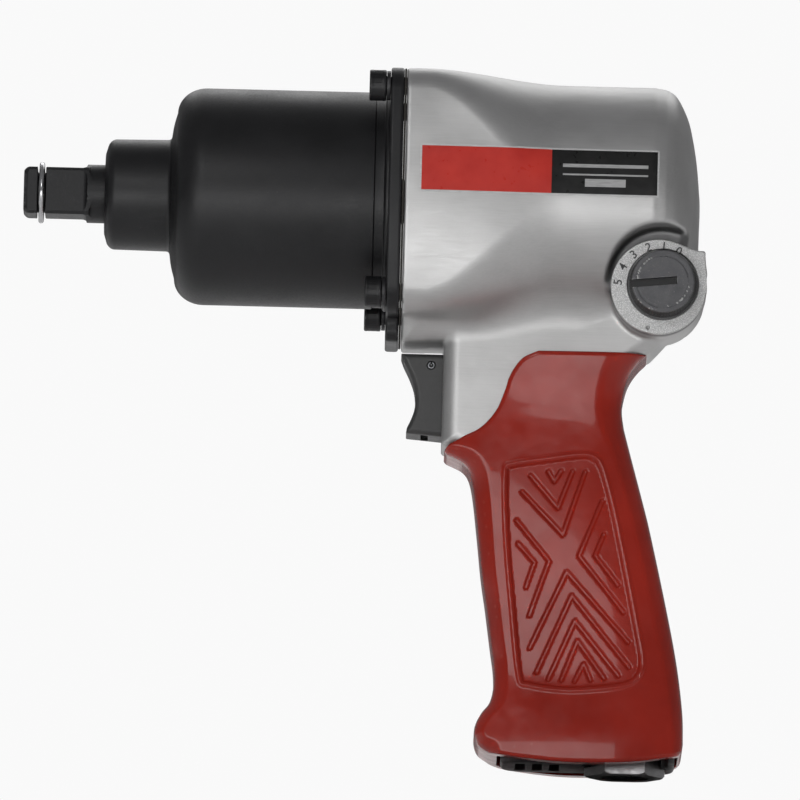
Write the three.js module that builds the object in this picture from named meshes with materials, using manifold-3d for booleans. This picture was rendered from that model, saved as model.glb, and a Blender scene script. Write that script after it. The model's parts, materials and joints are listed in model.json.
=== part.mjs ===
// Half-inch pneumatic impact wrench with a twin-hammer mechanism, as a three.js scene graph.
// Millimetres, +Z up. The drive axis is X, with the nose towards -X. The origin is the centre of
// the square drive's tip. The dial side is -Y, and the pistol handle hangs towards -Z.
import * as THREE from "three";
import { mergeVertices } from "three/addons/utils/BufferGeometryUtils.js";
import Module from "manifold-3d";

const wasm = await Module();
wasm.setup();

// ---- Driving dimensions -------------------------------------------------------------------

const GAP = 0.3; // between pieces that move on each other
const SEAT = 0.15; // between pieces that are bolted or pressed together

const DRIVE_SQUARE = 12.7; // half-inch drive
const NOSE_X = 22; // nose face of the hammer case
const NOSE_R = 15;
const CASE_R = 29.3;
const CASE_WALL = 3.1;
const CASE_FRONT_X = 40; // where the nose meets the shoulder
const FLANGE_X = 98.6;
const JOINT_X = 102.2; // rear face of the hammer case flange
const HOUSING_X = 102.9; // front face of the motor housing
const FLANGE_HALF = { y: 32.6, z: 33.4, corner: 8.5 };
const LIP = { half: 14, depth: 12, z: -32.6 };
const SCREW = { y: 26, z: 28, r: 2.4, headR: 4.2, headLength: 4.6, washer: 1.2, end: 116 };

const BARREL_R = 32.4;
const CAVITY_R = 26.2; // bore that holds the air motor
const CAVITY_END_X = 155.8;
const BLEND_X = [108, 146]; // where the square front turns into the round barrel

const VALVE = { x: 173, z: -24.1, boreR: 8.1, farY: 20 }; // axis of the regulator valve
const DIAL_FACE_Y = -26.5; // cast scale ring around the dial
const BOSS = { x: 171.9, z: -24.8, r: 13 };

const WEB_HALF = 15.5; // half width of the handle casting
const GRIP_HALF = 18.6; // half width of the moulded grip
const ROOF_Z = -39.6; // underside of the housing above the trigger
const HANDLE_FRONT_X = 114.5;
const HANDLE_END_Z = -146;

const ROD_Z = -45.3; // axis of the throttle rod and valve
const CHAMBER = { start: 122.8, end: 152, r: 7.5 };
const INLET = { x: 166, acrossFlats: 19, bottom: -155.2, boreR: 5.9 };
const EXHAUST = { top: [132.5, -60], bottom: [146, -147], r: 7 };

const PIN_Z = 20; // hammer pins sit this far above and below the drive axis
const HAMMERS = [
  { name: "front_hammer", x0: 51.9, x1: 70.7, turn: 0 },
  { name: "rear_hammer", x0: 71.5, x1: 90.3, turn: Math.PI },
];
const JAW_SHIFT = THREE.MathUtils.degToRad(-52); // anvil jaw ahead of the hammer's dog

const ROTOR_R = 20.5;
const VANES = 6;
const CYLINDER = { x0: 112.5, x1: 146.3, boreR: 22.2, shift: 1.4 };
const BEARING = { width: 7.4, bore: 6.1, innerR: 8.2, outerR: 12, seatR: 14.1, ballR: 1.65, balls: 8 };

// ---- Materials ----------------------------------------------------------------------------

const finish = (color, roughness, metalness) => new THREE.MeshStandardMaterial({ color, roughness, metalness });
const castAluminium = finish(0xa6a6a6, 0.38, 0.9);
const blackSteel = finish(0x1d1e20, 0.5, 0.6);
const blackPlastic = finish(0x333335, 0.55, 0);
const redRubber = finish(0x8e1f16, 0.22, 0);
const dialMetal = finish(0x55575a, 0.5, 0.7);
const polishedSteel = finish(0xb4b6ba, 0.25, 1);
const hardSteel = finish(0x6d7075, 0.4, 0.9);
const bronze = finish(0x9a6b3c, 0.4, 0.9);
const rubber = finish(0x151515, 0.7, 0);
const redLabel = finish(0xb8332c, 0.45, 0);
const gasketFibre = finish(0x3c3a36, 0.9, 0);
const phenolic = finish(0x6a4a2c, 0.7, 0);

// ---- Solids -------------------------------------------------------------------------------

// Turns a closed three.js geometry into a manifold-3d solid with its faces pointing out.
function solid(geometry) {
  const bare = geometry.index ? geometry.toNonIndexed() : geometry.clone();
  const closed = new THREE.BufferGeometry().setAttribute("position", bare.getAttribute("position"));
  const merged = mergeVertices(closed, 1e-4);
  const triVerts = new Uint32Array(merged.index.array);
  const make = () =>
    new wasm.Manifold(new wasm.Mesh({ numProp: 3, vertProperties: merged.attributes.position.array, triVerts }));
  if (make().volume() < 0) {
    for (let i = 0; i < triVerts.length; i += 3) {
      [triVerts[i + 1], triVerts[i + 2]] = [triVerts[i + 2], triVerts[i + 1]];
    }
  }
  return make();
}

// Turns a manifold-3d solid back into a three.js geometry.
function geometryOf(body) {
  const mesh = body.getMesh();
  const position = new Float32Array(mesh.numVert * 3);
  for (let i = 0; i < mesh.numVert; i++) {
    position.set(mesh.vertProperties.subarray(i * mesh.numProp, i * mesh.numProp + 3), i * 3);
  }
  const geometry = new THREE.BufferGeometry();
  geometry.setAttribute("position", new THREE.BufferAttribute(position, 3));
  geometry.setIndex(new THREE.BufferAttribute(mesh.triVerts, 1));
  return geometry;
}

const union = (...bodies) => bodies.reduce((all, body) => all.add(body));
const cut = (body, ...tools) => tools.reduce((left, tool) => left.subtract(tool), body);

// A cylinder from one point to another.
function rod(from, to, r, sides = 24, rEnd = r) {
  const a = new THREE.Vector3(...from);
  const b = new THREE.Vector3(...to);
  const geometry = new THREE.CylinderGeometry(rEnd, r, a.distanceTo(b), sides);
  const direction = b.clone().sub(a).normalize();
  geometry.applyQuaternion(new THREE.Quaternion().setFromUnitVectors(new THREE.Vector3(0, 1, 0), direction));
  geometry.translate(...a.add(b).multiplyScalar(0.5).toArray());
  return solid(geometry);
}

// A hole whose flats, and not its corners, lie at radius r.
const hole = (from, to, r, sides = 24) => rod(from, to, r / Math.cos(Math.PI / sides), sides);

const axial = (x0, x1, r, sides = 32, y = 0, z = 0) => rod([x0, y, z], [x1, y, z], r, sides);
const axialHole = (x0, x1, r, sides = 32, y = 0, z = 0) => hole([x0, y, z], [x1, y, z], r, sides);
const tube = (x0, x1, r, bore, sides = 32) => cut(axial(x0, x1, r, sides), axialHole(x0 - 1, x1 + 1, bore, sides));

function block([x0, y0, z0], [x1, y1, z1]) {
  const geometry = new THREE.BoxGeometry(x1 - x0, y1 - y0, z1 - z0);
  geometry.translate((x0 + x1) / 2, (y0 + y1) / 2, (z0 + z1) / 2);
  return solid(geometry);
}

// Revolves a closed [x, radius] profile about the drive axis.
function turned(profile, sides = 40) {
  const points = [...profile, profile[0]].map(([x, r]) => new THREE.Vector2(r, x));
  return solid(new THREE.LatheGeometry(points, sides).rotateZ(-Math.PI / 2));
}

const shapeOf = (points) => new THREE.Shape(points.map(([a, b]) => new THREE.Vector2(a, b)));

// Extrudes an [x, z] side outline across Y, with its edges rounded by bevel.
function sidePlate(outline, half, bevel, segments = 2) {
  const shape = outline instanceof THREE.Shape ? outline : shapeOf(outline);
  const geometry = new THREE.ExtrudeGeometry(shape, {
    depth: 2 * (half - bevel),
    bevelEnabled: bevel > 0,
    bevelThickness: bevel,
    bevelSize: bevel,
    bevelOffset: -bevel,
    bevelSegments: segments,
    curveSegments: 4,
  });
  geometry.translate(0, 0, -(half - bevel));
  return solid(geometry.rotateX(Math.PI / 2));
}

// Extrudes a [y, z] front outline along X.
function frontPlate(shape, x0, x1, curveSegments = 4) {
  const geometry = new THREE.ExtrudeGeometry(shape, { depth: x1 - x0, bevelEnabled: false, curveSegments });
  const basis = new THREE.Matrix4().makeBasis(
    new THREE.Vector3(0, 1, 0),
    new THREE.Vector3(0, 0, 1),
    new THREE.Vector3(1, 0, 0),
  );
  geometry.applyMatrix4(basis);
  geometry.translate(x0, 0, 0);
  return solid(geometry);
}

// Points of a rectangle with rounded corners, counter-clockwise.
function roundedRectangle(halfA, halfB, corner, perCorner = 6) {
  const points = [];
  const centres = [[1, 1], [-1, 1], [-1, -1], [1, -1]];
  centres.forEach(([sa, sb], quarter) => {
    for (let i = 0; i <= perCorner; i++) {
      const angle = (Math.PI / 2) * (quarter + i / perCorner);
      points.push([
        sa * (halfA - corner) + corner * Math.cos(angle),
        sb * (halfB - corner) + corner * Math.sin(angle),
      ]);
    }
  });
  return points;
}

// Skins a row of rings of [x, y, z] points that share a point count, closed by a fan at each end.
function loft(rings) {
  const count = rings[0].length;
  const position = rings.flat(2);
  const middle = (ring) => [0, 1, 2].map((axis) => ring.reduce((sum, point) => sum + point[axis], 0) / count);
  const ends = [rings[0], rings.at(-1)].map((ring) => position.push(...middle(ring)) / 3 - 1);
  const index = [];
  for (let s = 0; s < rings.length - 1; s++) {
    for (let i = 0; i < count; i++) {
      const [a, b] = [s * count + i, s * count + ((i + 1) % count)];
      index.push(a, b, b + count, a, b + count, a + count);
    }
  }
  const last = (rings.length - 1) * count;
  for (let i = 0; i < count; i++) {
    const next = (i + 1) % count;
    index.push(ends[0], next, i, ends[1], last + i, last + next);
  }
  const geometry = new THREE.BufferGeometry();
  geometry.setAttribute("position", new THREE.Float32BufferAttribute(position, 3));
  geometry.setIndex(index);
  return solid(geometry);
}

// A ring sector about the drive axis, from radius r0 to r1, centred on an angle from +Y.
function sector(x0, x1, r0, r1, centre, halfAngle) {
  const shape = new THREE.Shape();
  shape.absarc(0, 0, r1, centre - halfAngle, centre + halfAngle, false);
  shape.absarc(0, 0, r0, centre + halfAngle, centre - halfAngle, true);
  return frontPlate(shape, x0, x1, 8);
}

// A helical spring along X, or along Y, of round wire with closed ends.
function spring(length, coilR, wireR, turns) {
  class Helix extends THREE.Curve {
    getPoint(t) {
      const angle = 2 * Math.PI * turns * t;
      return new THREE.Vector3(length * t, coilR * Math.cos(angle), coilR * Math.sin(angle));
    }
  }
  const wire = new THREE.Shape();
  wire.absarc(0, 0, wireR, 0, 2 * Math.PI, false);
  const geometry = new THREE.ExtrudeGeometry(wire, {
    steps: turns * 8,
    extrudePath: new Helix(),
    curveSegments: 2,
    bevelEnabled: false,
  });
  return solid(geometry);
}

// ---- Scene graph --------------------------------------------------------------------------

const wrench = new THREE.Group();

function group(name) {
  const made = new THREE.Group();
  made.name = name;
  wrench.add(made);
  return made;
}

function add(parent, name, body, material, position = [0, 0, 0]) {
  const mesh = new THREE.Mesh(geometryOf(body), material);
  mesh.name = name;
  mesh.position.set(...position);
  parent.add(mesh);
}

const corners = [[-1, 1], [1, 1], [1, -1], [-1, -1]];
const screwPlaces = corners.map(([sy, sz]) => [sy * SCREW.y, sz * SCREW.z]);

// ---- Hammer case and what bolts it on ------------------------------------------------------

// The joint's outline: a rounded square with a lip that covers the front of the trigger's roof.
function flangePlate(x0, x1, grow = 0) {
  const square = roundedRectangle(FLANGE_HALF.y + grow, FLANGE_HALF.z + grow, FLANGE_HALF.corner);
  const lip = roundedRectangle(LIP.half + grow, LIP.depth / 2 + grow, 3, 3).map(([y, z]) => [y, z + LIP.z]);
  return union(...[square, lip].map((outline) => frontPlate(shapeOf(outline), x0, x1)));
}

function hammerCase() {
  const shoulder = [];
  for (let i = 0; i <= 5; i++) {
    const angle = (Math.PI / 2) * (i / 5);
    shoulder.push([49.2 - 8 * Math.cos(angle), 22.5 + (CASE_R - 22.5) * Math.sin(angle)]);
  }
  const inner = CASE_R - CASE_WALL;
  const bushR = 10.1;
  const body = turned([
    [NOSE_X, bushR],
    [NOSE_X, 11],
    [NOSE_X + 2, NOSE_R - 0.3],
    [CASE_FRONT_X, NOSE_R],
    ...shoulder,
    [JOINT_X, CASE_R],
    [JOINT_X, inner],
    [46, inner],
    [44.6, 24.6],
    [44.6, bushR],
  ]);
  const plate = flangePlate(FLANGE_X, JOINT_X);
  const screwHoles = screwPlaces.map(([y, z]) => axialHole(FLANGE_X - 1, JOINT_X + 1, 2.75, 12, y, z));
  return cut(union(body, plate), axialHole(FLANGE_X - 2, JOINT_X + 1, inner, 40), ...screwHoles);
}

function gasket() {
  const plate = flangePlate(JOINT_X + 0.1, HOUSING_X - 0.1, -0.3);
  const holes = screwPlaces.map(([y, z]) => axialHole(JOINT_X, HOUSING_X, 2.9, 10, y, z));
  return cut(plate, axialHole(JOINT_X - 1, HOUSING_X + 1, CAVITY_R + 0.2, 40), ...holes);
}

// A socket-head cap screw whose head's underside is at x = 0, with the shank towards +X.
function capScrew() {
  const shankLength = SCREW.end - FLANGE_X + SCREW.washer;
  const socket = rod([-SCREW.headLength - 1, 0, 0], [-SCREW.headLength + 2.4, 0, 0], 2.3, 6);
  return cut(union(axial(-SCREW.headLength, 0, SCREW.headR, 18), axial(-0.5, shankLength, SCREW.r, 12)), socket);
}

function lockWasher() {
  const ring = tube(SEAT / 2, SCREW.washer - SEAT / 2, SCREW.headR - 0.2, SCREW.r + 0.25, 16);
  return cut(ring, block([-1, 0, -0.5], [SCREW.washer + 1, 5, 0.5]));
}

const frontEnd = group("front_end");
add(frontEnd, "hammer_case", hammerCase(), blackSteel);
add(frontEnd, "nose_bushing", tube(NOSE_X + 0.8, 44.4, 9.9, 8.2), bronze);
add(frontEnd, "case_gasket", gasket(), gasketFibre);
screwPlaces.forEach(([y, z], i) => {
  const seatX = FLANGE_X - SCREW.washer;
  add(frontEnd, `case_screw_${i + 1}`, capScrew(), blackSteel, [seatX, y, z]);
  add(frontEnd, `lock_washer_${i + 1}`, lockWasher(), hardSteel, [seatX, y, z]);
});

// ---- Anvil and socket retainer -------------------------------------------------------------

const RETAINER = { x: 3.8, width: 2.2, grooveR: 5.4 };

function anvil() {
  const half = DRIVE_SQUARE / 2;
  const square = block([0, -half, -half], [17.5, half, half]);
  const cornerTrim = turned([[0, 0], [0, 7.2], [1.4, 8.5], [17.5, 8.5], [17.5, 0]]);
  const groove = tube(RETAINER.x, RETAINER.x + RETAINER.width, 10, RETAINER.grooveR, 24);
  const shaft = turned([
    [17, 0],
    [17, 7.9],
    [90.6, 7.9],
    [90.6, 4.5],
    [94.3, 4.5],
    [94.3, 0],
  ]);
  const jaws = HAMMERS.map(({ x0, x1, turn }) =>
    sector(x0 + 0.8, x1 - 0.8, 5, 11.3, turn + JAW_SHIFT, THREE.MathUtils.degToRad(14)),
  );
  return union(cut(square.intersect(cornerTrim), groove), shaft, ...jaws);
}

function retainingRing() {
  const ring = tube(RETAINER.x + 0.2, RETAINER.x + RETAINER.width - 0.2, 8.3, 7.05, 24);
  return cut(ring, block([0, -0.6, 5], [10, 0.6, 10]));
}

const drive = group("drive");
add(drive, "anvil", anvil(), blackSteel);
add(drive, "retaining_ring", retainingRing(), polishedSteel);
add(drive, "retainer_o_ring", tube(RETAINER.x + 0.35, RETAINER.x + RETAINER.width - 0.35, 6.85, 5.6, 20), rubber);

// ---- Twin-hammer mechanism -----------------------------------------------------------------

const SPLINE = { x0: 97.2, x1: 102.4, teeth: 10, tipR: 6.2, rootR: 5.1 };

function splineShape(grow) {
  const points = [];
  for (let i = 0; i < SPLINE.teeth * 2; i++) {
    const angle = (Math.PI * i) / SPLINE.teeth;
    const r = (i % 2 ? SPLINE.rootR : SPLINE.tipR) + grow;
    points.push([r * Math.cos(angle), r * Math.sin(angle)]);
  }
  return shapeOf(points);
}

function hammerFrame() {
  const R = 25.4;
  const frontRing = tube(46.4, 51.4, R, 10.5, 32);
  const rearDisc = union(axial(90.9, 96.2, R, 32), axial(96, SPLINE.x1 - 0.8, 9.4, 20));
  const webs = [0, Math.PI].map((side) => sector(51, 91.2, 22.9, R - 0.1, side, 0.62));
  const pinHoles = [-PIN_Z, PIN_Z].map((z) => axialHole(46, 95.4, 3.15, 16, 0, z));
  const pilot = axialHole(90, 94.8, 4.8, 20);
  const spline = frontPlate(splineShape(GAP), SPLINE.x0 - 0.4, SPLINE.x1 + 1);
  return cut(union(frontRing, rearDisc, ...webs), ...pinHoles, pilot, spline);
}

// A ring with a dog inside, a half-round notch that pivots on one pin, and a wide one that
// lets it rock about that pin.
function hammer({ x0, x1, turn }) {
  const ring = tube(x0, x1, 21, 13.4, 36);
  const dog = sector(x0, x1, 10.4, 14, 0, THREE.MathUtils.degToRad(25));
  const pivot = axialHole(x0 - 1, x1 + 1, 3.3, 16, 0, PIN_Z);
  const stop = block([x0 - 1, -6, -25], [x1 + 1, 6, -PIN_Z + 3.5]);
  return cut(union(ring, dog), pivot, stop).rotate([THREE.MathUtils.radToDeg(turn), 0, 0]);
}

const mechanism = group("hammer_mechanism");
add(mechanism, "hammer_frame", hammerFrame(), hardSteel);
HAMMERS.forEach((each) => add(mechanism, each.name, hammer(each), hardSteel));
[["upper", PIN_Z], ["lower", -PIN_Z]].forEach(([side, z]) => {
  add(mechanism, `${side}_hammer_pin`, axial(46.6, 95.2, 3, 16), polishedSteel, [0, 0, z]);
});

// ---- Air motor -----------------------------------------------------------------------------

const DOWEL = { x0: 105.2, x1: 153.6, z: -23.5, r: 1.3 };

// The bearing seat opens away from the cylinder, and the dowel enters from the cylinder's side.
function endPlate(x0, x1, seatFrom, seatTo) {
  const dowelHole = axialHole(Math.max(x0 - 1, DOWEL.x0 - 0.3), Math.min(x1 + 1, DOWEL.x1 + 0.3), DOWEL.r + 0.15, 10);
  return cut(
    axial(x0, x1, CAVITY_R - 0.3, 36),
    axialHole(seatFrom, seatTo, BEARING.seatR + 0.12, 28),
    axialHole(x0 - 1, x1 + 1, 8.6, 20),
    dowelHole.translate([0, 0, DOWEL.z]),
  );
}

function motorCylinder() {
  const { x0, x1, boreR, shift } = CYLINDER;
  const exhaustSlots = [-8, 8].map((y) => block([x0 + 12, y - 1.6, -30], [x1 - 12, y + 1.6, -19]));
  return cut(
    axial(x0, x1, CAVITY_R - 0.3, 36),
    axialHole(x0 - 1, x1 + 1, boreR, 36, 0, shift),
    axialHole(x0 - 1, x1 + 1, DOWEL.r + 0.15, 10, 0, DOWEL.z),
    ...exhaustSlots,
  );
}

const VANE = { thickness: 2, root: 11.6, tip: 20.2 };

function rotor() {
  const [x0, x1] = [CYLINDER.x0 + GAP, CYLINDER.x1 - GAP];
  const core = union(
    axial(x0, x1, ROTOR_R, 36),
    axial(SPLINE.x1 - 0.4, 155.4, 5.9, 24),
    frontPlate(splineShape(0), SPLINE.x0, SPLINE.x1),
  );
  const slots = [];
  for (let i = 0; i < VANES; i++) {
    const slot = block([x0 - 1, -VANE.thickness / 2 - 0.2, VANE.root - 0.5], [x1 + 1, VANE.thickness / 2 + 0.2, 25]);
    slots.push(slot.rotate([(360 * i) / VANES, 0, 0]));
  }
  return cut(core, ...slots);
}

function vane(i) {
  const [x0, x1] = [CYLINDER.x0 + 0.5, CYLINDER.x1 - 0.5];
  const blade = block([x0, -VANE.thickness / 2, VANE.root], [x1, VANE.thickness / 2, VANE.tip]);
  return blade.rotate([(360 * i) / VANES, 0, 0]);
}

// The balls of a bearing, held in one ring, centred on x = 0.
function ballSet() {
  const pitch = (BEARING.innerR + BEARING.outerR) / 2;
  const balls = [];
  for (let i = 0; i < BEARING.balls; i++) {
    const angle = (2 * Math.PI * i) / BEARING.balls;
    const ball = new THREE.OctahedronGeometry(BEARING.ballR, 1);
    balls.push(solid(ball.translate(0, pitch * Math.cos(angle), pitch * Math.sin(angle))));
  }
  return union(tube(-0.5, 0.5, pitch + 0.6, pitch - 0.6, 16), ...balls);
}

const motor = group("air_motor");
add(motor, "front_end_plate", endPlate(103.3, 112.3, 102, 111.2), hardSteel);
add(motor, "motor_cylinder", motorCylinder(), hardSteel);
add(motor, "rear_end_plate", endPlate(146.5, 155.5, 147.6, 157), hardSteel);
add(motor, "rotor", rotor(), polishedSteel);
for (let i = 0; i < VANES; i++) add(motor, `vane_${i + 1}`, vane(i), phenolic);
add(motor, "cylinder_dowel", axial(DOWEL.x0, DOWEL.x1, DOWEL.r, 10), polishedSteel, [0, 0, DOWEL.z]);
[["front", 107.3], ["rear", 151.5]].forEach(([end, x]) => {
  const half = BEARING.width / 2;
  add(motor, `${end}_bearing_outer`, tube(-half, half, BEARING.seatR, BEARING.outerR), polishedSteel, [x, 0, 0]);
  add(motor, `${end}_bearing_inner`, tube(-half, half, BEARING.innerR, BEARING.bore), polishedSteel, [x, 0, 0]);
  add(motor, `${end}_bearing_balls`, ballSet(), polishedSteel, [x, 0, 0]);
});

// ---- Motor housing with its handle ----------------------------------------------------------

// Outer form of the barrel: square at the flange, round at the rear, grown by an offset.
function barrelForm(offset = 0) {
  const rings = [HOUSING_X, 105, 108, 114, 120, 127, 134, 140, BLEND_X[1]].map((x) => {
    const t = THREE.MathUtils.smoothstep(x, ...BLEND_X);
    const mix = (a, b) => THREE.MathUtils.lerp(a, b, t) + offset;
    const corner = Math.min(mix(FLANGE_HALF.corner, BARREL_R), BARREL_R + offset - 0.05);
    const section = roundedRectangle(mix(FLANGE_HALF.y, BARREL_R), mix(FLANGE_HALF.z, BARREL_R), corner, 9);
    return section.map(([y, z]) => [x, y, z]);
  });
  const rear = turned([
    [BLEND_X[1] - 2, 0],
    [BLEND_X[1] - 2, BARREL_R - 0.2],
    [BLEND_X[1], BARREL_R + offset],
    [170, BARREL_R + offset],
    [173.4, BARREL_R - 0.6 + offset],
    [176.1, 29.8 + offset],
    [178.4, 26],
    [180.4, 19],
    [181.7, 11.8],
    [182.6, 0],
  ]);
  return union(loft(rings), rear);
}

// Side outline of the trigger roof, the handle core and the web behind the barrel.
const webOutline = [
  [HOUSING_X, -18],
  [HOUSING_X, ROOF_Z],
  [HANDLE_FRONT_X, ROOF_Z],
  [HANDLE_FRONT_X, -67.3],
  [120, -69.5],
  [125.2, -76.5],
  [127.4, -95],
  [130, -115],
  [131, HANDLE_END_Z],
  [178.2, HANDLE_END_Z],
  [176.3, -125],
  [171.6, -102],
  [165.4, -78],
  [161, -62],
  [160.5, -54],
  [163.5, -46.5],
  [168.5, -41.6],
  [172.6, -40.2],
  [178.5, -34.5],
  [183.2, -28],
  [184.4, -20],
  [183.4, -8],
  [181.6, 2],
  [150, 0],
];

function motorHousing() {
  const bossDepth = VALVE.farY + 3;
  const ear = block([BOSS.x, DIAL_FACE_Y, -27.5], [183.4, -8, -17.8]);
  const form = union(
    barrelForm(),
    sidePlate(webOutline, WEB_HALF, 4),
    rod([BOSS.x, DIAL_FACE_Y, BOSS.z], [BOSS.x, bossDepth, BOSS.z], BOSS.r - 0.3, 32),
    ear,
  );
  const aroundDial = cut(
    rod([VALVE.x, -45, VALVE.z], [VALVE.x, DIAL_FACE_Y + 2, VALVE.z], 15.6, 32),
    rod([BOSS.x, -45, BOSS.z], [BOSS.x, 0, BOSS.z], BOSS.r, 32),
    ear.translate([0, -0.01, 0]),
  );
  const overDial = rod([VALVE.x, -45, VALVE.z], [VALVE.x, DIAL_FACE_Y, VALVE.z], 15.6, 32);
  const triggerPocket = block([HANDLE_FRONT_X - 1, -8.4, -65.4], [CHAMBER.start + 0.5, 8.4, ROOF_Z - 0.3]);
  const chamber = axialHole(CHAMBER.start, CHAMBER.end, CHAMBER.r, 24, 0, ROD_Z);
  const [ex, ez] = EXHAUST.top;
  return cut(
    form,
    axialHole(HOUSING_X - 1, CAVITY_END_X, CAVITY_R, 40),
    aroundDial,
    overDial,
    hole([VALVE.x, -45, VALVE.z], [VALVE.x, VALVE.farY, VALVE.z], VALVE.boreR, 24),
    triggerPocket,
    chamber,
    hole([INLET.x, 0, -150], [147, 0, -50], 5.6, 16),
    hole([INLET.x, 0, -150], [INLET.x, 0, -130.6], 8.5, 24),
    hole([ex, 0, ez], [EXHAUST.bottom[0], 0, EXHAUST.bottom[1]], EXHAUST.r, 20),
    hole([ex, -13, ez - 1], [ex, 13, ez - 1], 2.8, 12),
    ...[-11.2, 11.2].map((y) => hole([ex, y, -23], [ex, y, ez - 2], 2.6, 12)),
    hole([132.2, 0, ROD_Z], [132.2, 0, -31.5], 2.4, 12),
    hole([130.2, 0, -31.6], [170, 0, -31.6], 2.4, 12),
    ...[-6, 6].map((y) => axialHole(CAVITY_END_X - 1, 168, 2.6, 12, y, -20)),
    ...screwPlaces.map(([y, z]) => axialHole(HOUSING_X - 1, SCREW.end + 1.5, SCREW.r + SEAT, 12, y, z)),
    hole([VALVE.x, -40, VALVE.z + 10.6], [VALVE.x, -18.6, VALVE.z + 10.6], 1.5, 12),
    plateRecess(),
  );
}

// ---- Rating plate on the dial side ----------------------------------------------------------

const PLATE = { x0: 106.9, x1: 171.3, z0: -0.6, z1: 12.6 };

function plateWindow(grow) {
  return block([PLATE.x0 - grow, -40, PLATE.z0 - grow], [PLATE.x1 + grow, 0, PLATE.z1 + grow]);
}

function plateRecess() {
  return cut(plateWindow(0.3), barrelForm(-0.4));
}

function ratingPlate() {
  return cut(barrelForm(0.25).intersect(plateWindow(0)), barrelForm(-0.25));
}

const housing = group("housing");
add(housing, "motor_housing", motorHousing(), castAluminium);
add(housing, "rating_plate", ratingPlate(), redLabel);

// ---- Regulator valve and its dial -----------------------------------------------------------

const DIAL = { baseR: 9.2, faceR: 8.3, back: DIAL_FACE_Y - GAP, faceY: -33.4, pointer: 5.7 };

// Modelled about its own axis, which is Y, with its back at y = 0 and its face towards -Y.
function regulatorDial() {
  const depth = DIAL.back - DIAL.faceY;
  const grip = rod([0, 0, 0], [0, -depth + 1, 0], DIAL.baseR, 30);
  const crown = rod([0, -depth + 1, 0], [0, -depth, 0], DIAL.baseR, 30, DIAL.faceR);
  const slot = block([-DIAL.baseR - 1, -depth - 1, -1], [3.7, -depth + 1.6, 1]);
  const socket = hole([0, 1, 0], [0, -3, 0], 3.2, 12);
  return cut(union(grip, crown), slot.rotate([0, -DIAL.pointer, 0]), socket);
}

function valveSpool() {
  const [near, far] = [DIAL_FACE_Y + 1, 18.4];
  const body = rod([0, near, 0], [0, far, 0], 6.3, 24);
  const neck = rod([0, near - 3.6, 0], [0, near + 1, 0], 3, 12);
  const flats = [
    block([-7, -12, 2.4], [7, -2, 8]),
    block([-7, 2, -8], [7, 12, -2.4]),
  ];
  const ringGroove = cut(rod([0, -20.5, 0], [0, -18.3, 0], 8, 24), rod([0, -21, 0], [0, -18, 0], 5, 24));
  return cut(union(body, neck), ...flats, ringGroove);
}

function valveBushing() {
  const shell = cut(rod([0, -24.5, 0], [0, 18.6, 0], 7.9, 24), hole([0, -25, 0], [0, 20, 0], 6.6, 24));
  const ports = [
    hole([0, -6, 0], [0, -6, 12], 2.4, 10),
    hole([0, 6, -12], [0, 6, 0], 2.4, 10),
    hole([-12, 0, 0], [0, 0, 0], 2.4, 10),
  ];
  return cut(shell, ...ports);
}

// Turned rings about Y, for the seal and the snap ring of the valve.
function yRing(y0, y1, r, bore, sides = 20) {
  return cut(rod([0, y0, 0], [0, y1, 0], r, sides), hole([0, y0 - 1, 0], [0, y1 + 1, 0], bore, sides));
}

const valve = group("regulator_valve");
valve.position.set(VALVE.x, 0, VALVE.z);
add(valve, "regulator_dial", regulatorDial(), dialMetal, [0, DIAL.back, 0]);
add(valve, "valve_spool", valveSpool(), hardSteel);
add(valve, "valve_bushing", valveBushing(), bronze);
add(valve, "valve_o_ring", yRing(-20.2, -18.6, 6.35, 5.15), rubber);
add(valve, "detent_ball", solid(new THREE.IcosahedronGeometry(1.3, 1)), polishedSteel, [0, -25.1, 10.6]);
add(valve, "detent_spring", spring(4.4, 0.95, 0.22, 4).rotate([0, 0, 90]), polishedSteel, [0, -23.4, 10.6]);
add(valve, "valve_snap_ring", yRing(-26.1, -24.8, 7.9, 6.5), hardSteel);

// ---- Trigger and throttle -------------------------------------------------------------------

const TRIGGER_PIN = { x: 111.3, r: 1 };

function trigger() {
  const outline = new THREE.Shape();
  outline.moveTo(103.9, -40.4);
  outline.lineTo(104.6, -43.2);
  outline.bezierCurveTo(107.2, -47.4, 109.1, -52.5, 107.9, -56.8);
  outline.bezierCurveTo(107.3, -59.4, 105.3, -60.8, 104.9, -63.3);
  outline.lineTo(114.5, -64.6);
  outline.lineTo(116.5, -64.6);
  outline.lineTo(116.5, -40.4);
  outline.closePath();
  return cut(
    sidePlate(outline, 7.9, 1.2, 2),
    axialHole(107.6, 118, 2.7, 16, 0, ROD_Z),
    hole([TRIGGER_PIN.x, -9, ROD_Z], [TRIGGER_PIN.x, 9, ROD_Z], TRIGGER_PIN.r + 0.12, 12),
  );
}

function throttleRod() {
  const pinHole = hole([TRIGGER_PIN.x, -9, ROD_Z], [TRIGGER_PIN.x, 9, ROD_Z], TRIGGER_PIN.r + 0.12, 12);
  return cut(axial(108, 134, 2.4, 16, 0, ROD_Z), pinHole);
}

function throttleValve() {
  return union(axial(134.3, 138, 1.7, 12), axial(137, 140, 5.6, 20), axial(139.5, 142.6, 2.4, 12));
}

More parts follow.
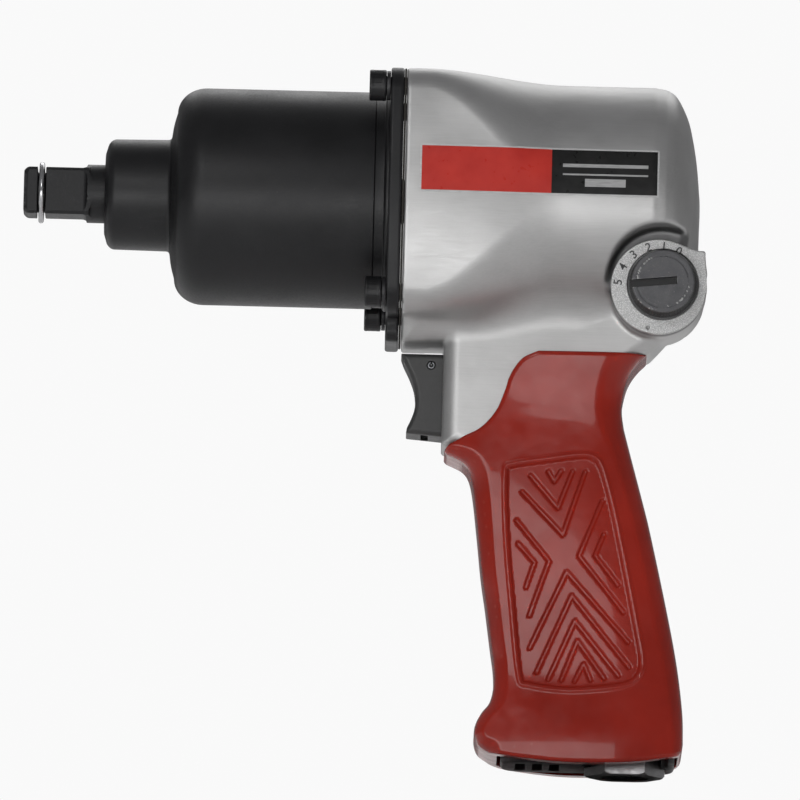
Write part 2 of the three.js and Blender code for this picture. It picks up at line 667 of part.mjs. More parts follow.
const throttle = group("throttle");
add(throttle, "trigger", trigger(), blackPlastic);
add(throttle, "trigger_pin", rod([0, -7.8, 0], [0, 7.8, 0], TRIGGER_PIN.r, 12), hardSteel, [TRIGGER_PIN.x, 0, ROD_Z]);
add(throttle, "throttle_rod", throttleRod(), polishedSteel);
add(throttle, "rod_bushing", tube(123.6, 130.8, 7.3, 2.65, 24), bronze, [0, 0, ROD_Z]);
add(throttle, "throttle_seat", tube(133.6, 136.7, 7.3, 3.6, 24), phenolic, [0, 0, ROD_Z]);
add(throttle, "throttle_valve", throttleValve(), hardSteel, [0, 0, ROD_Z]);
add(throttle, "throttle_spring", spring(10.6, 3.7, 0.5, 4), polishedSteel, [140.8, 0, ROD_Z]);

// ---- Grip, air inlet and exhaust -------------------------------------------------------------

// Outer side outline of the moulded grip, as stretches of smooth curve.
const gripStretches = [
  [[115.2, -69.2], [116.4, -67.6], [120, -65.4], [125, -62.8], [129, -58.2], [131.3, -52.6]],
  [[132, -50], [133.4, -47], [136, -43.8], [140, -41.9]],
  [[160, -41.8], [168, -41.6]],
  [[170.2, -41.2]],
  [[167.2, -44.2], [164.6, -48.8], [163.3, -55.5], [165.2, -66.4], [171, -87], [176.1, -108.5], [179.5, -124.6]],
  [[181.4, -138], [181.6, -147.6]],
  [[179.4, -150.8], [166, -152.6], [150, -153.2], [136, -152], [127.4, -149.8]],
  [[125.2, -147.6], [125, -144.9], [126.7, -139.6], [129.4, -134]],
  [[128.8, -121], [125.8, -101.7], [123.2, -80.1], [121.3, -74.4], [117.8, -71.4]],
];

function gripOutline() {
  const smooth = (stretch) => {
    if (stretch.length < 3) return stretch;
    const curve = new THREE.SplineCurve(stretch.map(([x, z]) => new THREE.Vector2(x, z)));
    return curve.getPoints(stretch.length * 2).map(({ x, y }) => [x, y]);
  };
  return gripStretches.flatMap(smooth);
}

// Height, front, back and half width of the grip, from the bottom up.
const gripSections = [
  [-153.5, 124.9, 181.6, GRIP_HALF + 0.9],
  [-145, 124.9, 181.6, GRIP_HALF + 0.9],
  [-134, 129.2, 181, GRIP_HALF + 0.2],
  [-121, 128.8, 178.9, GRIP_HALF],
  [-101.7, 125.8, 174.8, GRIP_HALF],
  [-80, 123.2, 169.1, GRIP_HALF],
  [-74.4, 121.3, 167.4, GRIP_HALF],
  [-71, 116.6, 166.5, GRIP_HALF],
  [-69.4, 115, 166.1, GRIP_HALF],
  [-66, 115, 165.2, GRIP_HALF],
  [-58.2, 126, 163.3, GRIP_HALF],
  [-50, 130, 164.3, GRIP_HALF + 0.2],
  [-40, 131, 171, GRIP_HALF + 0.4],
];

// Side outline of the sunken panel on each side of the grip.
const panelOutline = [
  [135, -75.4],
  [146.2, -71.3],
  [150.8, -71.1],
  [154.7, -74],
  [165.6, -122.8],
  [166.1, -131],
  [162.9, -134],
  [151.3, -135.9],
  [137.2, -134.4],
];

const DEFLECTOR = { x0: 132.5, x1: 179.4, half: 13.6, top: -146.4, bottom: -152.8 };

function gripCover() {
  const core = sidePlate(webOutline, WEB_HALF + 0.3, 3.5);
  const slack = [[-0.3, 0], [0.3, 0], [0, -0.3], [0, 0.3]].map(([dx, dz]) => core.translate([dx, 0, dz]));
  const { x0, x1, half } = DEFLECTOR;
  const baseOpening = block([x0 - 0.6, -half - 0.5, -160], [x1 + 0.6, half + 0.5, HANDLE_END_Z + 0.5]);
  const rounded = loft(
    gripSections.map(([z, front, back, half]) =>
      roundedRectangle((back - front) / 2, half, 8, 5).map(([x, y]) => [(front + back) / 2 + x, y, z]),
    ),
  );
  const body = sidePlate(gripOutline(), 2 * GRIP_HALF, 0).intersect(rounded);
  const panels = [-1, 1].map((side) => sidePlate(panelOutline, 3, 0).translate([0, side * (GRIP_HALF + 2.2), 0]));
  return cut(body, ...slack, ...panels, baseOpening);
}

function exhaustDeflector() {
  const { x0, x1, half, top, bottom } = DEFLECTOR;
  const outline = roundedRectangle((x1 - x0) / 2, half, 7, 5).map(([x, y]) => new THREE.Vector2(x, y));
  const plate = new THREE.ExtrudeGeometry(new THREE.Shape(outline), { depth: top - bottom, bevelEnabled: false });
  plate.translate((x0 + x1) / 2, 0, bottom);
  const slots = [0, 1, 2].map((i) => block([136.5 + i * 4.6, -8, bottom - 1], [139.3 + i * 4.6, 8, top + 1]));
  const inlet = hole([INLET.x, 0, bottom - 1], [INLET.x, 0, top + 1], 11.2, 24);
  return cut(solid(plate), ...slots, inlet);
}

function inletBushing() {
  const hex = rod([0, 0, INLET.bottom], [0, 0, -147], INLET.acrossFlats / 2 / Math.cos(Math.PI / 6), 6);
  const shank = rod([0, 0, -147.5], [0, 0, -131], 8.3, 24);
  return cut(
    union(hex.rotate([0, 0, 30]), shank),
    hole([0, 0, INLET.bottom - 1], [0, 0, -137.5], INLET.boreR, 24),
    hole([0, 0, -138], [0, 0, -130], 4.6, 20),
  );
}

function inletStrainer() {
  const cup = union(rod([0, 0, -138.9], [0, 0, -137.9], 5.5, 20), rod([0, 0, -138.5], [0, 0, -131.8], 4.2, 16));
  return cut(cup, rod([0, 0, -140], [0, 0, -132.6], 3.5, 16));
}

const base = group("handle_base");
add(base, "grip_cover", gripCover(), redRubber);
add(base, "exhaust_deflector", exhaustDeflector(), blackPlastic);
add(base, "inlet_bushing", inletBushing(), polishedSteel, [INLET.x, 0, 0]);
add(base, "inlet_strainer", inletStrainer(), polishedSteel, [INLET.x, 0, 0]);
add(base, "silencer", rod([143.9, 0, -134], [145.4, 0, -144.6], 6.2, 16), gasketFibre);

export default wrench;
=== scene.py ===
"""Looks of a half-inch pneumatic impact wrench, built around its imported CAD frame.

Shapes are worked out in millimetres in the CAD frame (X along the drive, nose at -X, handle at
-Z, dial side at -Y) and are made into meshes in metres. The larger forms are signed distance
functions turned into quads; the turned ones are revolved profiles.
"""
import json
import math

import bmesh
import bpy
import numpy as np
from mathutils import Matrix, Vector


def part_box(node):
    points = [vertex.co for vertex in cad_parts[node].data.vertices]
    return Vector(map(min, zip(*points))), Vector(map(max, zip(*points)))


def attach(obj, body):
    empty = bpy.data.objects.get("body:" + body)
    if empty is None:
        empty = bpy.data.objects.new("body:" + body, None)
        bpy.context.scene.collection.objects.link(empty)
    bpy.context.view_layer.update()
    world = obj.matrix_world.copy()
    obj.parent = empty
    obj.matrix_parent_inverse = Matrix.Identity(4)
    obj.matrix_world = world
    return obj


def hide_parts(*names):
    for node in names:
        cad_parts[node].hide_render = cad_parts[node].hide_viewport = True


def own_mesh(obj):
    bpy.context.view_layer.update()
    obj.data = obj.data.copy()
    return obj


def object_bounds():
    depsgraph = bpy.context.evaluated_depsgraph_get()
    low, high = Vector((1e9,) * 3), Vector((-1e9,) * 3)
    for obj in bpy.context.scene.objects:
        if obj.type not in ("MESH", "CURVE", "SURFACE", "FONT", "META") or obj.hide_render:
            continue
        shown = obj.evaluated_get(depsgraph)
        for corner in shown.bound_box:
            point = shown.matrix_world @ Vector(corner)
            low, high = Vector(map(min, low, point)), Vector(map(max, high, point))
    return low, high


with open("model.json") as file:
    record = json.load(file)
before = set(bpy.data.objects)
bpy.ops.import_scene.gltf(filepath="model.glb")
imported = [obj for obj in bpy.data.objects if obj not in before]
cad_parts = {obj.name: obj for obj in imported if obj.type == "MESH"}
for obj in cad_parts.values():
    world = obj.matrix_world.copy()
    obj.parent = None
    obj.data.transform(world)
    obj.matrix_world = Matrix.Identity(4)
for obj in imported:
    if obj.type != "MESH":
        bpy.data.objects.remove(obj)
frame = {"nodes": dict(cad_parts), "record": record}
cad_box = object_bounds()

MM = 0.001
TAU = 2 * math.pi
WELD = 1e-7  # metres

# ==== Signed distances, in millimetres. Negative is inside ====


def smooth_min(a, b, k):
    """Union of two distances with a fillet of about k."""
    h = np.clip(0.5 + 0.5 * (b - a) / k, 0, 1)
    return b + (a - b) * h - k * h * (1 - h)


def smooth_max(a, b, k):
    return -smooth_min(-a, -b, k)


def without(a, b, k=0.0):
    """a with b cut away, with the edge eased by about k."""
    return smooth_max(a, -b, k) if k else np.maximum(a, -b)


def smoothstep(t):
    t = np.clip(t, 0, 1)
    return t * t * (3 - 2 * t)


def ramp_through(value, places, heights):
    """A smooth curve through (place, height) points."""
    path = curve_through(list(zip(places, heights)), 0.5)
    return np.interp(value, path[:, 0], path[:, 1])


def curve_through(points, spacing=0.8, closed=False):
    """A Catmull-Rom polyline through points."""
    p = np.array(points, float)
    if closed:
        p = np.vstack([p[-1], p, p[0], p[1]])
    else:
        p = np.vstack([2 * p[0] - p[1], p, 2 * p[-1] - p[-2]])
    out = []
    for i in range(1, len(p) - 2):
        n = max(1, int(np.linalg.norm(p[i + 1] - p[i]) / spacing))
        t = (np.arange(n) / n)[:, None]
        a, b, c, d = p[i - 1], p[i], p[i + 1], p[i + 2]
        square, cube = 2 * a - 5 * b + 4 * c - d, 3 * b - a - 3 * c + d
        out.append(0.5 * (2 * b + (c - a) * t + square * t**2 + cube * t**3))
    if not closed:
        out.append(p[-2][None])
    return np.vstack(out)


def polygon_distance(points, u, v):
    """Exact signed distance from (u, v) to a closed polygon."""
    nearest = np.full(np.broadcast(u, v).shape, 1e9)
    inside = np.zeros(nearest.shape, bool)
    for (ax, ay), (bx, by) in zip(points, np.roll(points, -1, 0)):
        ex, ey = bx - ax, by - ay
        length = ex * ex + ey * ey
        if length < 1e-12:
            continue
        wx, wy = u - ax, v - ay
        t = np.clip((wx * ex + wy * ey) / length, 0, 1)
        nearest = np.minimum(nearest, (wx - ex * t) ** 2 + (wy - ey * t) ** 2)
        if ey:
            inside ^= ((ay <= v) != (by <= v)) & (u < ax + ex * (v - ay) / ey)
    return np.where(inside, -1.0, 1.0) * np.sqrt(nearest)


class Outline:
    """Distance to a closed outline in a plane, kept as a table and read between its cells."""

    def __init__(self, points, cell=0.4, margin=10.0, distance=None):
        points = np.array(points, float)
        self.low = points.min(0) - margin
        self.cell = cell
        count = ((points.max(0) + margin - self.low) / cell).astype(int) + 2
        u = (self.low[0] + np.arange(count[0]) * cell)[:, None]
        v = (self.low[1] + np.arange(count[1]) * cell)[None, :]
        self.table = (distance or (lambda a, b: polygon_distance(points, a, b)))(u, v)

    def __call__(self, u, v):
        a = np.clip((u - self.low[0]) / self.cell, 0, self.table.shape[0] - 1.001)
        b = np.clip((v - self.low[1]) / self.cell, 0, self.table.shape[1] - 1.001)
        i, j = a.astype(int), b.astype(int)
        s, t = a - i, b - j
        table = self.table
        return (
            (table[i, j] * (1 - s) + table[i + 1, j] * s) * (1 - t)
            + (table[i, j + 1] * (1 - s) + table[i + 1, j + 1] * s) * t
        )


def plate(flat, across, half, edge):
    """An outline's distance given thickness: half each way, with its edges rounded by edge."""
    a = flat + edge
    b = np.abs(across) - (half - edge)
    return np.minimum(np.maximum(a, b), 0) + np.hypot(np.maximum(a, 0), np.maximum(b, 0)) - edge


def slab(value, low, high):
    return np.maximum(low - value, value - high)


def box(x, y, z, low, high, edge=0.0):
    parts = [np.abs(p - (a + b) / 2) - ((b - a) / 2 - edge) for p, a, b in zip((x, y, z), low, high)]
    outside = np.sqrt(sum(np.maximum(p, 0) ** 2 for p in parts))
    return outside + np.minimum(np.maximum(np.maximum(parts[0], parts[1]), parts[2]), 0) - edge


def rod_between(x, y, z, a, b, r):
    """A flat-ended cylinder from point a to point b."""
    a, b = np.array(a, float), np.array(b, float)
    length = np.linalg.norm(b - a)
    d = (b - a) / length
    along = (x - a[0]) * d[0] + (y - a[1]) * d[1] + (z - a[2]) * d[2]
    square = (x - a[0]) ** 2 + (y - a[1]) ** 2 + (z - a[2]) ** 2
    radial = np.sqrt(np.maximum(square - along**2, 0))
    return np.maximum(radial - r, np.maximum(-along, along - length))


def rounded_square(y, z, half_y, half_z, corner):
    a = np.abs(y) - (half_y - corner)
    b = np.abs(z) - (half_z - corner)
    return np.hypot(np.maximum(a, 0), np.maximum(b, 0)) + np.minimum(np.maximum(a, b), 0) - corner


def line_distance(u, v, a, b):
    """Distance in a plane to the line from a to b."""
    ex, ey = b[0] - a[0], b[1] - a[1]
    t = np.clip(((u - a[0]) * ex + (v - a[1]) * ey) / (ex * ex + ey * ey), 0, 1)
    return np.hypot(u - a[0] - ex * t, v - a[1] - ey * t)


# ==== Meshes ====


def gradient(distance, p, h=0.06):
    out = np.empty_like(p)
    for axis in range(3):
        step = np.zeros(3)
        step[axis] = h
        a, b = p + step, p - step
        out[:, axis] = distance(a[:, 0], a[:, 1], a[:, 2]) - distance(b[:, 0], b[:, 1], b[:, 2])
    return out / (2 * h)


def surface(distance, low, high, step):
    """Quads on the zero surface of a distance function, with their points moved onto it."""
    axes = [np.arange(a - 1.6 * step, b + 2.6 * step, step) for a, b in zip(low, high)]
    shape = tuple(len(a) for a in axes)
    grid = distance(axes[0][:, None, None], axes[1][None, :, None], axes[2][None, None, :])
    grid = np.broadcast_to(grid, shape).astype(np.float32)
    inside = grid < 0
    count = np.zeros(tuple(n - 1 for n in shape), np.int8)
    corners = [(i, j, k) for i in (0, 1) for j in (0, 1) for k in (0, 1)]
    for i, j, k in corners:
        count += inside[i : shape[0] - 1 + i, j : shape[1] - 1 + j, k : shape[2] - 1 + k]
    active = (count > 0) & (count < 8)
    cells = np.argwhere(active)
    number = np.full(active.shape, -1, np.int64)
    number[active] = np.arange(len(cells))
    total = np.zeros((len(cells), 3))
    hits = np.zeros(len(cells))
    for a in corners:
        for axis in range(3):
            if a[axis]:
                continue
            b = list(a)
            b[axis] = 1
            va = grid[tuple((cells + a).T)]
            vb = grid[tuple((cells + b).T)]
            cross = (va < 0) != (vb < 0)
            t = va[cross] / (va[cross] - vb[cross])
            total[cross] += np.array(a) + t[:, None] * (np.array(b) - np.array(a))
            hits[cross] += 1
    origin = np.array([a[0] for a in axes])
    points = (cells + total / hits[:, None]) * step + origin
    faces = []
    for axis in range(3):
        u, v = [i for i in range(3) if i != axis]
        near = [slice(None)] * 3
        far = [slice(None)] * 3
        near[axis], far[axis] = slice(0, -1), slice(1, None)
        change = inside[tuple(near)] != inside[tuple(far)]
        spot = np.argwhere(change)
        within = (spot[:, u] > 0) & (spot[:, u] < shape[u] - 1)
        spot = spot[within & (spot[:, v] > 0) & (spot[:, v] < shape[v] - 1)]
        du, dv = np.zeros(3, int), np.zeros(3, int)
        du[u], dv[v] = 1, 1
        quad = np.stack(
            [number[tuple(q.T)] for q in (spot, spot - du, spot - du - dv, spot - dv)],
            axis=1,
        )
        flip = inside[tuple(spot.T)] == (axis == 1)
        quad[flip] = quad[flip][:, ::-1]
        faces.append(quad)
    faces = np.vstack(faces)
    for _ in range(3):
        g = gradient(distance, points)
        value = distance(points[:, 0], points[:, 1], points[:, 2])
        move = -value[:, None] * g / np.maximum((g**2).sum(1), 0.25)[:, None]
        size = np.linalg.norm(move, axis=1, keepdims=True)
        points += move * np.minimum(1, 0.6 * step / np.maximum(size, 1e-9))
    return points, faces


def mesh_object(name, points, faces):
    mesh = bpy.data.meshes.new(name)
    points = np.asarray(points, np.float32) * MM
    faces = np.asarray(faces, np.int32)
    mesh.vertices.add(len(points))
    mesh.vertices.foreach_set("co", points.ravel())
    mesh.loops.add(faces.size)
    mesh.polygons.add(len(faces))
    mesh.loops.foreach_set("vertex_index", faces.ravel())
    mesh.polygons.foreach_set("loop_start", np.arange(0, faces.size, faces.shape[1], dtype=np.int32))
    mesh.update(calc_edges=True)
    mesh.validate()
    mesh.polygons.foreach_set("use_smooth", [True] * len(mesh.polygons))
    made = bpy.data.objects.new(name, mesh)
    bpy.context.scene.collection.objects.link(made)
    return made


def carved(name, distance, low, high, step):
    """An object on a distance function's surface, shaded by the function's own slope."""
    points, faces = surface(distance, low, high, step)
    made = mesh_object(name, points, faces)
    slope = gradient(distance, points, 0.15 * step)
    slope /= np.maximum(np.linalg.norm(slope, axis=1, keepdims=True), 1e-9)
    if len(made.data.vertices) == len(slope):
        made.data.normals_split_custom_set_from_vertices(slope.tolist())
    return made


def eased(profile, radius, steps=4):
    """A closed [x, r] profile with its corners rounded where a radius is given."""
    out = []
    n = len(profile)
    for i, (x, r, *own) in enumerate(profile):
        p = np.array([x, r], float)
        a = np.array(profile[i - 1][:2], float) - p
        b = np.array(profile[(i + 1) % n][:2], float) - p
        la, lb = np.linalg.norm(a), np.linalg.norm(b)
        size = min(own[0] if own else radius, 0.45 * la, 0.45 * lb)
        if size < 0.02:
            out.append(p)
            continue
        a, b = a / la * size, b / lb * size
        for s in range(steps + 1):
            t = s / steps
            out.append(p + a * (1 - t) ** 2 + b * t**2)
    return out


def turned(name, profile, radius, sides):
    """Revolves a closed [x, radius] profile about the drive axis."""
    ring = eased(profile, radius)
    keep = []
    for p in ring:
        if not keep or np.linalg.norm(p - keep[-1]) > 1e-4:
            keep.append(p)
    points = []
    for s in range(sides):
        c, d = math.cos(TAU * s / sides), math.sin(TAU * s / sides)
        for along, r in keep:
            points.append((along, r * c, r * d))
    n = len(keep)
    faces = []
    for s in range(sides):
        t = (s + 1) % sides
        for i in range(n):
            j = (i + 1) % n
            faces.append((s * n + i, s * n + j, t * n + j, t * n + i))
    made = mesh_object(name, np.array(points), faces)
    clean(made)
    return made


def clean(made):
    """Welds doubled points and turns the faces outward."""
    bm = bmesh.new()
    bm.from_mesh(made.data)
    bmesh.ops.remove_doubles(bm, verts=bm.verts, dist=WELD)
    bmesh.ops.dissolve_degenerate(bm, edges=bm.edges, dist=WELD)
    bmesh.ops.recalc_face_normals(bm, faces=bm.faces)
    bm.to_mesh(made.data)
    bm.free()
    made.data.polygons.foreach_set("use_smooth", [True] * len(made.data.polygons))
    made.data.update()


def sharpen(made, degrees=35):
    """Shades smooth, except across edges that are sharper than an angle."""
    bm = bmesh.new()
    bm.from_mesh(made.data)
    for edge in bm.edges:
        edge.smooth = len(edge.link_faces) == 2 and edge.calc_face_angle(0) < math.radians(degrees)
    bm.to_mesh(made.data)
    bm.free()
    made.data.update()


def merged(name, *objects):
    """Joins objects into the first one, which keeps each one's material."""
    with bpy.context.temp_override(
        active_object=objects[0],
        selected_objects=list(objects),
        selected_editable_objects=list(objects),
    ):
        bpy.ops.object.join()
    objects[0].name = name
    return objects[0]


# ==== Sizes that repeat the CAD's, in millimetres ====

NOSE_X = 22.0
CASE_R = 29.3
FLANGE_X, JOINT_X = 98.6, 102.2
HOUSING_X = 102.9
CAVITY_R, CAVITY_END = 26.2, 155.8
BARREL_R = 32.4
SCREW_Y, SCREW_Z, SCREW_R = 26.0, 28.0, 2.4
DIAL_X, DIAL_Z = 173.0, -24.1
DIAL_FACE_Y = -26.5
BOSS_X, BOSS_Z, BOSS_R = 171.9, -24.8, 13.0
WEB_HALF = 15.5
CHANNEL_X, CHANNEL_Z, CHANNEL_R = 172.7, -23.0, 14.5
GRIP_HALF = 18.6
ROD_Z = -45.3
INLET_X = 166.0
plate_low, plate_high = [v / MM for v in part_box("rating_plate")]
plate_low.z, plate_high.z = -1.4, 11.6
screw_places = [(-SCREW_Y, SCREW_Z), (SCREW_Y, SCREW_Z), (SCREW_Y, -SCREW_Z), (-SCREW_Y, -SCREW_Z)]

# ==== Procedural materials ====


class Paint:
    """One material and short ways to build its nodes."""

    def __init__(self, name, **sockets):
        self.material = bpy.data.materials.new(name)
        self.material.use_nodes = True
        self.tree = self.material.node_tree
        self.shader = self.tree.nodes["Principled BSDF"]
        self.place = self.node("ShaderNodeTexCoord").outputs["Object"]
        for socket, value in sockets.items():
            self.shader.inputs[socket.replace("_", " ")].default_value = value

    def node(self, kind, **settings):
        made = self.tree.nodes.new(kind)
        for key, value in settings.items():
            setattr(made, key, value)
        return made

    def link(self, source, target):
        self.tree.links.new(source, target)

    def set(self, node, **inputs):
        for key, value in inputs.items():
            socket = node.inputs[key.replace("_", " ")]
            if isinstance(value, bpy.types.NodeSocket):
                self.link(value, socket)
            else:
                socket.default_value = value

    def stretched(self, size):
        """Object coordinates divided by a length in mm, or by one for each axis."""
        sizes = size if isinstance(size, tuple) else (size, size, size)
        node = self.node("ShaderNodeMapping")
        self.link(self.place, node.inputs["Vector"])
        node.inputs["Scale"].default_value = [1000 / each for each in sizes]
        return node.outputs["Vector"]

    def noise(self, size, detail=4.0, roughness=0.55):
        node = self.node("ShaderNodeTexNoise")
        self.set(node, Vector=self.stretched(size), Scale=1.0, Detail=detail, Roughness=roughness)
        return node.outputs["Fac"]

    def cells(self, size, randomness=1.0):
        node = self.node("ShaderNodeTexVoronoi")
        self.set(node, Vector=self.stretched(size), Scale=1.0, Randomness=randomness)
        return node.outputs["Distance"]

    def ramp(self, value, *stops):
        """Maps a value through (place, colour or grey) stops."""
        node = self.node("ShaderNodeValToRGB")
        ramp = node.color_ramp
        while len(ramp.elements) < len(stops):
            ramp.elements.new(0.5)
        for element, (place, colour) in zip(ramp.elements, stops):
            element.position = place
            element.color = (*colour, 1) if isinstance(colour, tuple) else (colour, colour, colour, 1)
        self.link(value, node.inputs["Fac"])
        return node.outputs["Color"]

    def math(self, operation, a, b=0.0, clamp=False):
        node = self.node("ShaderNodeMath", operation=operation, use_clamp=clamp)
        for socket, value in zip(node.inputs, (a, b)):
            if isinstance(value, bpy.types.NodeSocket):
                self.link(value, socket)
            else:
                socket.default_value = value
        return node.outputs["Value"]

    def mix(self, amount, a, b):
        node = self.node("ShaderNodeMix", data_type="RGBA")
        for socket, value in zip((node.inputs[0], node.inputs[6], node.inputs[7]), (amount, a, b)):
            if isinstance(value, bpy.types.NodeSocket):
                self.link(value, socket)
            else:
                socket.default_value = value if isinstance(value, float) else (*value, 1)
        return node.outputs[2]

    def axis(self, letter):
        """One object coordinate, in millimetres."""
        node = self.node("ShaderNodeSeparateXYZ")
        self.link(self.place, node.inputs[0])
        return self.math("MULTIPLY", node.outputs[letter], 1000.0)

    def between(self, value, low, high, soft=0.05):
        """1 where a value lies between low and high."""
        rise = self.math("DIVIDE", self.math("SUBTRACT", value, low), soft, clamp=True)
        fall = self.math("DIVIDE", self.math("SUBTRACT", high, value), soft, clamp=True)
        return self.math("MULTIPLY", rise, fall)

    def worn(self, low=0.52, high=0.6):
        """1 on convex edges, broken up by noise."""
        node = self.node("ShaderNodeNewGeometry")
        edge = self.ramp(node.outputs["Pointiness"], (low, 0.0), (high, 1.0))
        return self.math("MULTIPLY", edge, self.ramp(self.noise(1.2), (0.35, 0.2), (0.6, 1.0)))

    def blend(self, a, share, b):
        """A share of a with the rest of b."""
        rest = self.math("MULTIPLY", b, round(1 - share, 6))
        return self.math("ADD", self.math("MULTIPLY", a, share), rest)

    def colour(self, value):
        self.link(value, self.shader.inputs["Base Color"])

    def rough(self, value):
        self.link(value, self.shader.inputs["Roughness"])

    def bump(self, *heights):
        """Adds (height, strength, distance in mm) bumps, one on top of the other."""
        normal = None
        for height, strength, distance in heights:
            node = self.node("ShaderNodeBump")
            self.set(node, Height=height, Strength=strength, Distance=distance * MM)
            if normal:
                self.link(normal, node.inputs["Normal"])
            normal = node.outputs["Normal"]
        self.link(normal, self.shader.inputs["Normal"])
        return self.material


def cast_aluminium():
    p = Paint("cast_aluminium", Metallic=0.88)
    broad = p.noise((26, 20, 18), 3)
    brushed = p.noise((9, 0.35, 0.35), 5, 0.65)
    fine = p.noise(0.5, 3)
    base = p.ramp(broad, (0.3, (0.42, 0.418, 0.415)), (0.7, (0.52, 0.518, 0.515)))
    base = p.mix(p.ramp(brushed, (0.35, 0.0), (0.75, 0.3)), base, (0.66, 0.66, 0.655))
    x, z = p.axis("X"), p.axis("Z")
    # Painted shade: the housing colour is darkened in the channel round the dial, where less light reaches.
    from_centre = p.math(
        "SQRT",
        p.math(
            "ADD",
            p.math("POWER", p.math("ABSOLUTE", p.math("SUBTRACT", x, CHANNEL_X)), 2.0),
            p.math("POWER", p.math("ABSOLUTE", p.math("SUBTRACT", z, CHANNEL_Z)), 2.0),
        ),
    )
    channel_shade = p.math(
        "MULTIPLY",
        p.between(from_centre, 5.0, CHANNEL_R + 1.2, 1.6),
        p.between(p.axis("Y"), -27.5, -18.0, 2.0),
    )
    base = p.mix(p.math("MULTIPLY", channel_shade, 0.8), base, (0.1, 0.1, 0.102))
    p.colour(base)
    p.rough(p.ramp(p.blend(brushed, 0.7, fine), (0.3, 0.36), (0.7, 0.54)))
    return p.bump((brushed, 0.18, 0.04), (fine, 0.25, 0.03), (p.noise(7, 2), 0.25, 0.25))


def sparkling_aluminium():
    p = Paint("sparkling_aluminium", Metallic=0.85)
    grains = p.cells(0.3)
    fine = p.noise(0.35, 4, 0.7)
    p.colour(p.mix(p.ramp(grains, (0.1, 0.0), (0.55, 1.0)), (0.78, 0.78, 0.77), (0.42, 0.42, 0.42)))
    p.rough(p.ramp(fine, (0.3, 0.28), (0.7, 0.6)))
    return p.bump((grains, 0.55, 0.06), (fine, 0.6, 0.05))


def black_case():
    p = Paint("black_case", Metallic=0.25, Specular_IOR_Level=0.5)
    broad = p.noise(14, 4)
    grit = p.noise(0.55, 4, 0.6)
    base = p.ramp(broad, (0.3, (0.005, 0.005, 0.0058)), (0.75, (0.011, 0.0112, 0.0125)))
    base = p.mix(p.math("MULTIPLY", p.worn(), 0.5), base, (0.09, 0.09, 0.095))
    p.colour(p.mix(p.ramp(p.noise(0.9, 2), (0.72, 0.0), (0.82, 0.35)), base, (0.06, 0.058, 0.055)))
    p.rough(p.ramp(p.blend(broad, 0.5, grit), (0.35, 0.34), (0.7, 0.55)))
    return p.bump((grit, 0.35, 0.035), (p.noise(3, 2), 0.15, 0.1))


def red_grip():
    p = Paint("red_grip", Specular_IOR_Level=0.2, Coat_Weight=0.28, Coat_Roughness=0.04)
    broad = p.noise(22, 4)
    specks = p.noise(0.8, 3, 0.6)
    base = p.ramp(broad, (0.3, (0.27, 0.015, 0.007)), (0.7, (0.35, 0.021, 0.011)))
    base = p.mix(p.math("MULTIPLY", p.worn(0.53, 0.64), 0.25), base, (0.42, 0.09, 0.07))
    p.colour(p.mix(p.ramp(specks, (0.7, 0.0), (0.8, 0.25)), base, (0.11, 0.008, 0.006)))
    p.rough(p.ramp(p.noise(5, 4), (0.35, 0.13), (0.7, 0.27)))
    return p.bump((p.noise(1.3, 2), 0.07, 0.06), (p.noise(11, 2), 0.3, 0.5), (specks, 0.05, 0.03))


def black_plastic(name="black_plastic", tone=0.035, rough=0.48):
    p = Paint(name, Specular_IOR_Level=0.45)
    grain = p.cells(0.35)
    broad = p.noise(6, 4)
    base = p.ramp(broad, (0.3, tone * 0.75), (0.7, tone * 1.2))
    p.colour(p.mix(p.math("MULTIPLY", p.worn(), 0.4), base, (tone * 3, tone * 3, tone * 3)))
    p.rough(p.ramp(broad, (0.3, rough - 0.07), (0.7, rough + 0.1)))
    return p.bump((grain, 0.3, 0.04), (broad, 0.1, 0.1))


def dial_metal():
    p = Paint("dial_metal", Metallic=0.55)
    broad = p.noise(4, 5, 0.65)
    fine = p.noise(0.4, 4, 0.7)
    base = p.ramp(broad, (0.3, (0.075, 0.075, 0.08)), (0.7, (0.13, 0.13, 0.135)))
    base = p.mix(p.ramp(fine, (0.62, 0.0), (0.74, 0.6)), base, (0.45, 0.44, 0.43))
    p.colour(p.mix(p.math("MULTIPLY", p.worn(0.53, 0.6), 0.8), base, (0.5, 0.5, 0.49)))
    p.rough(p.ramp(broad, (0.3, 0.38), (0.7, 0.6)))
    return p.bump((fine, 0.4, 0.05), (broad, 0.2, 0.15))


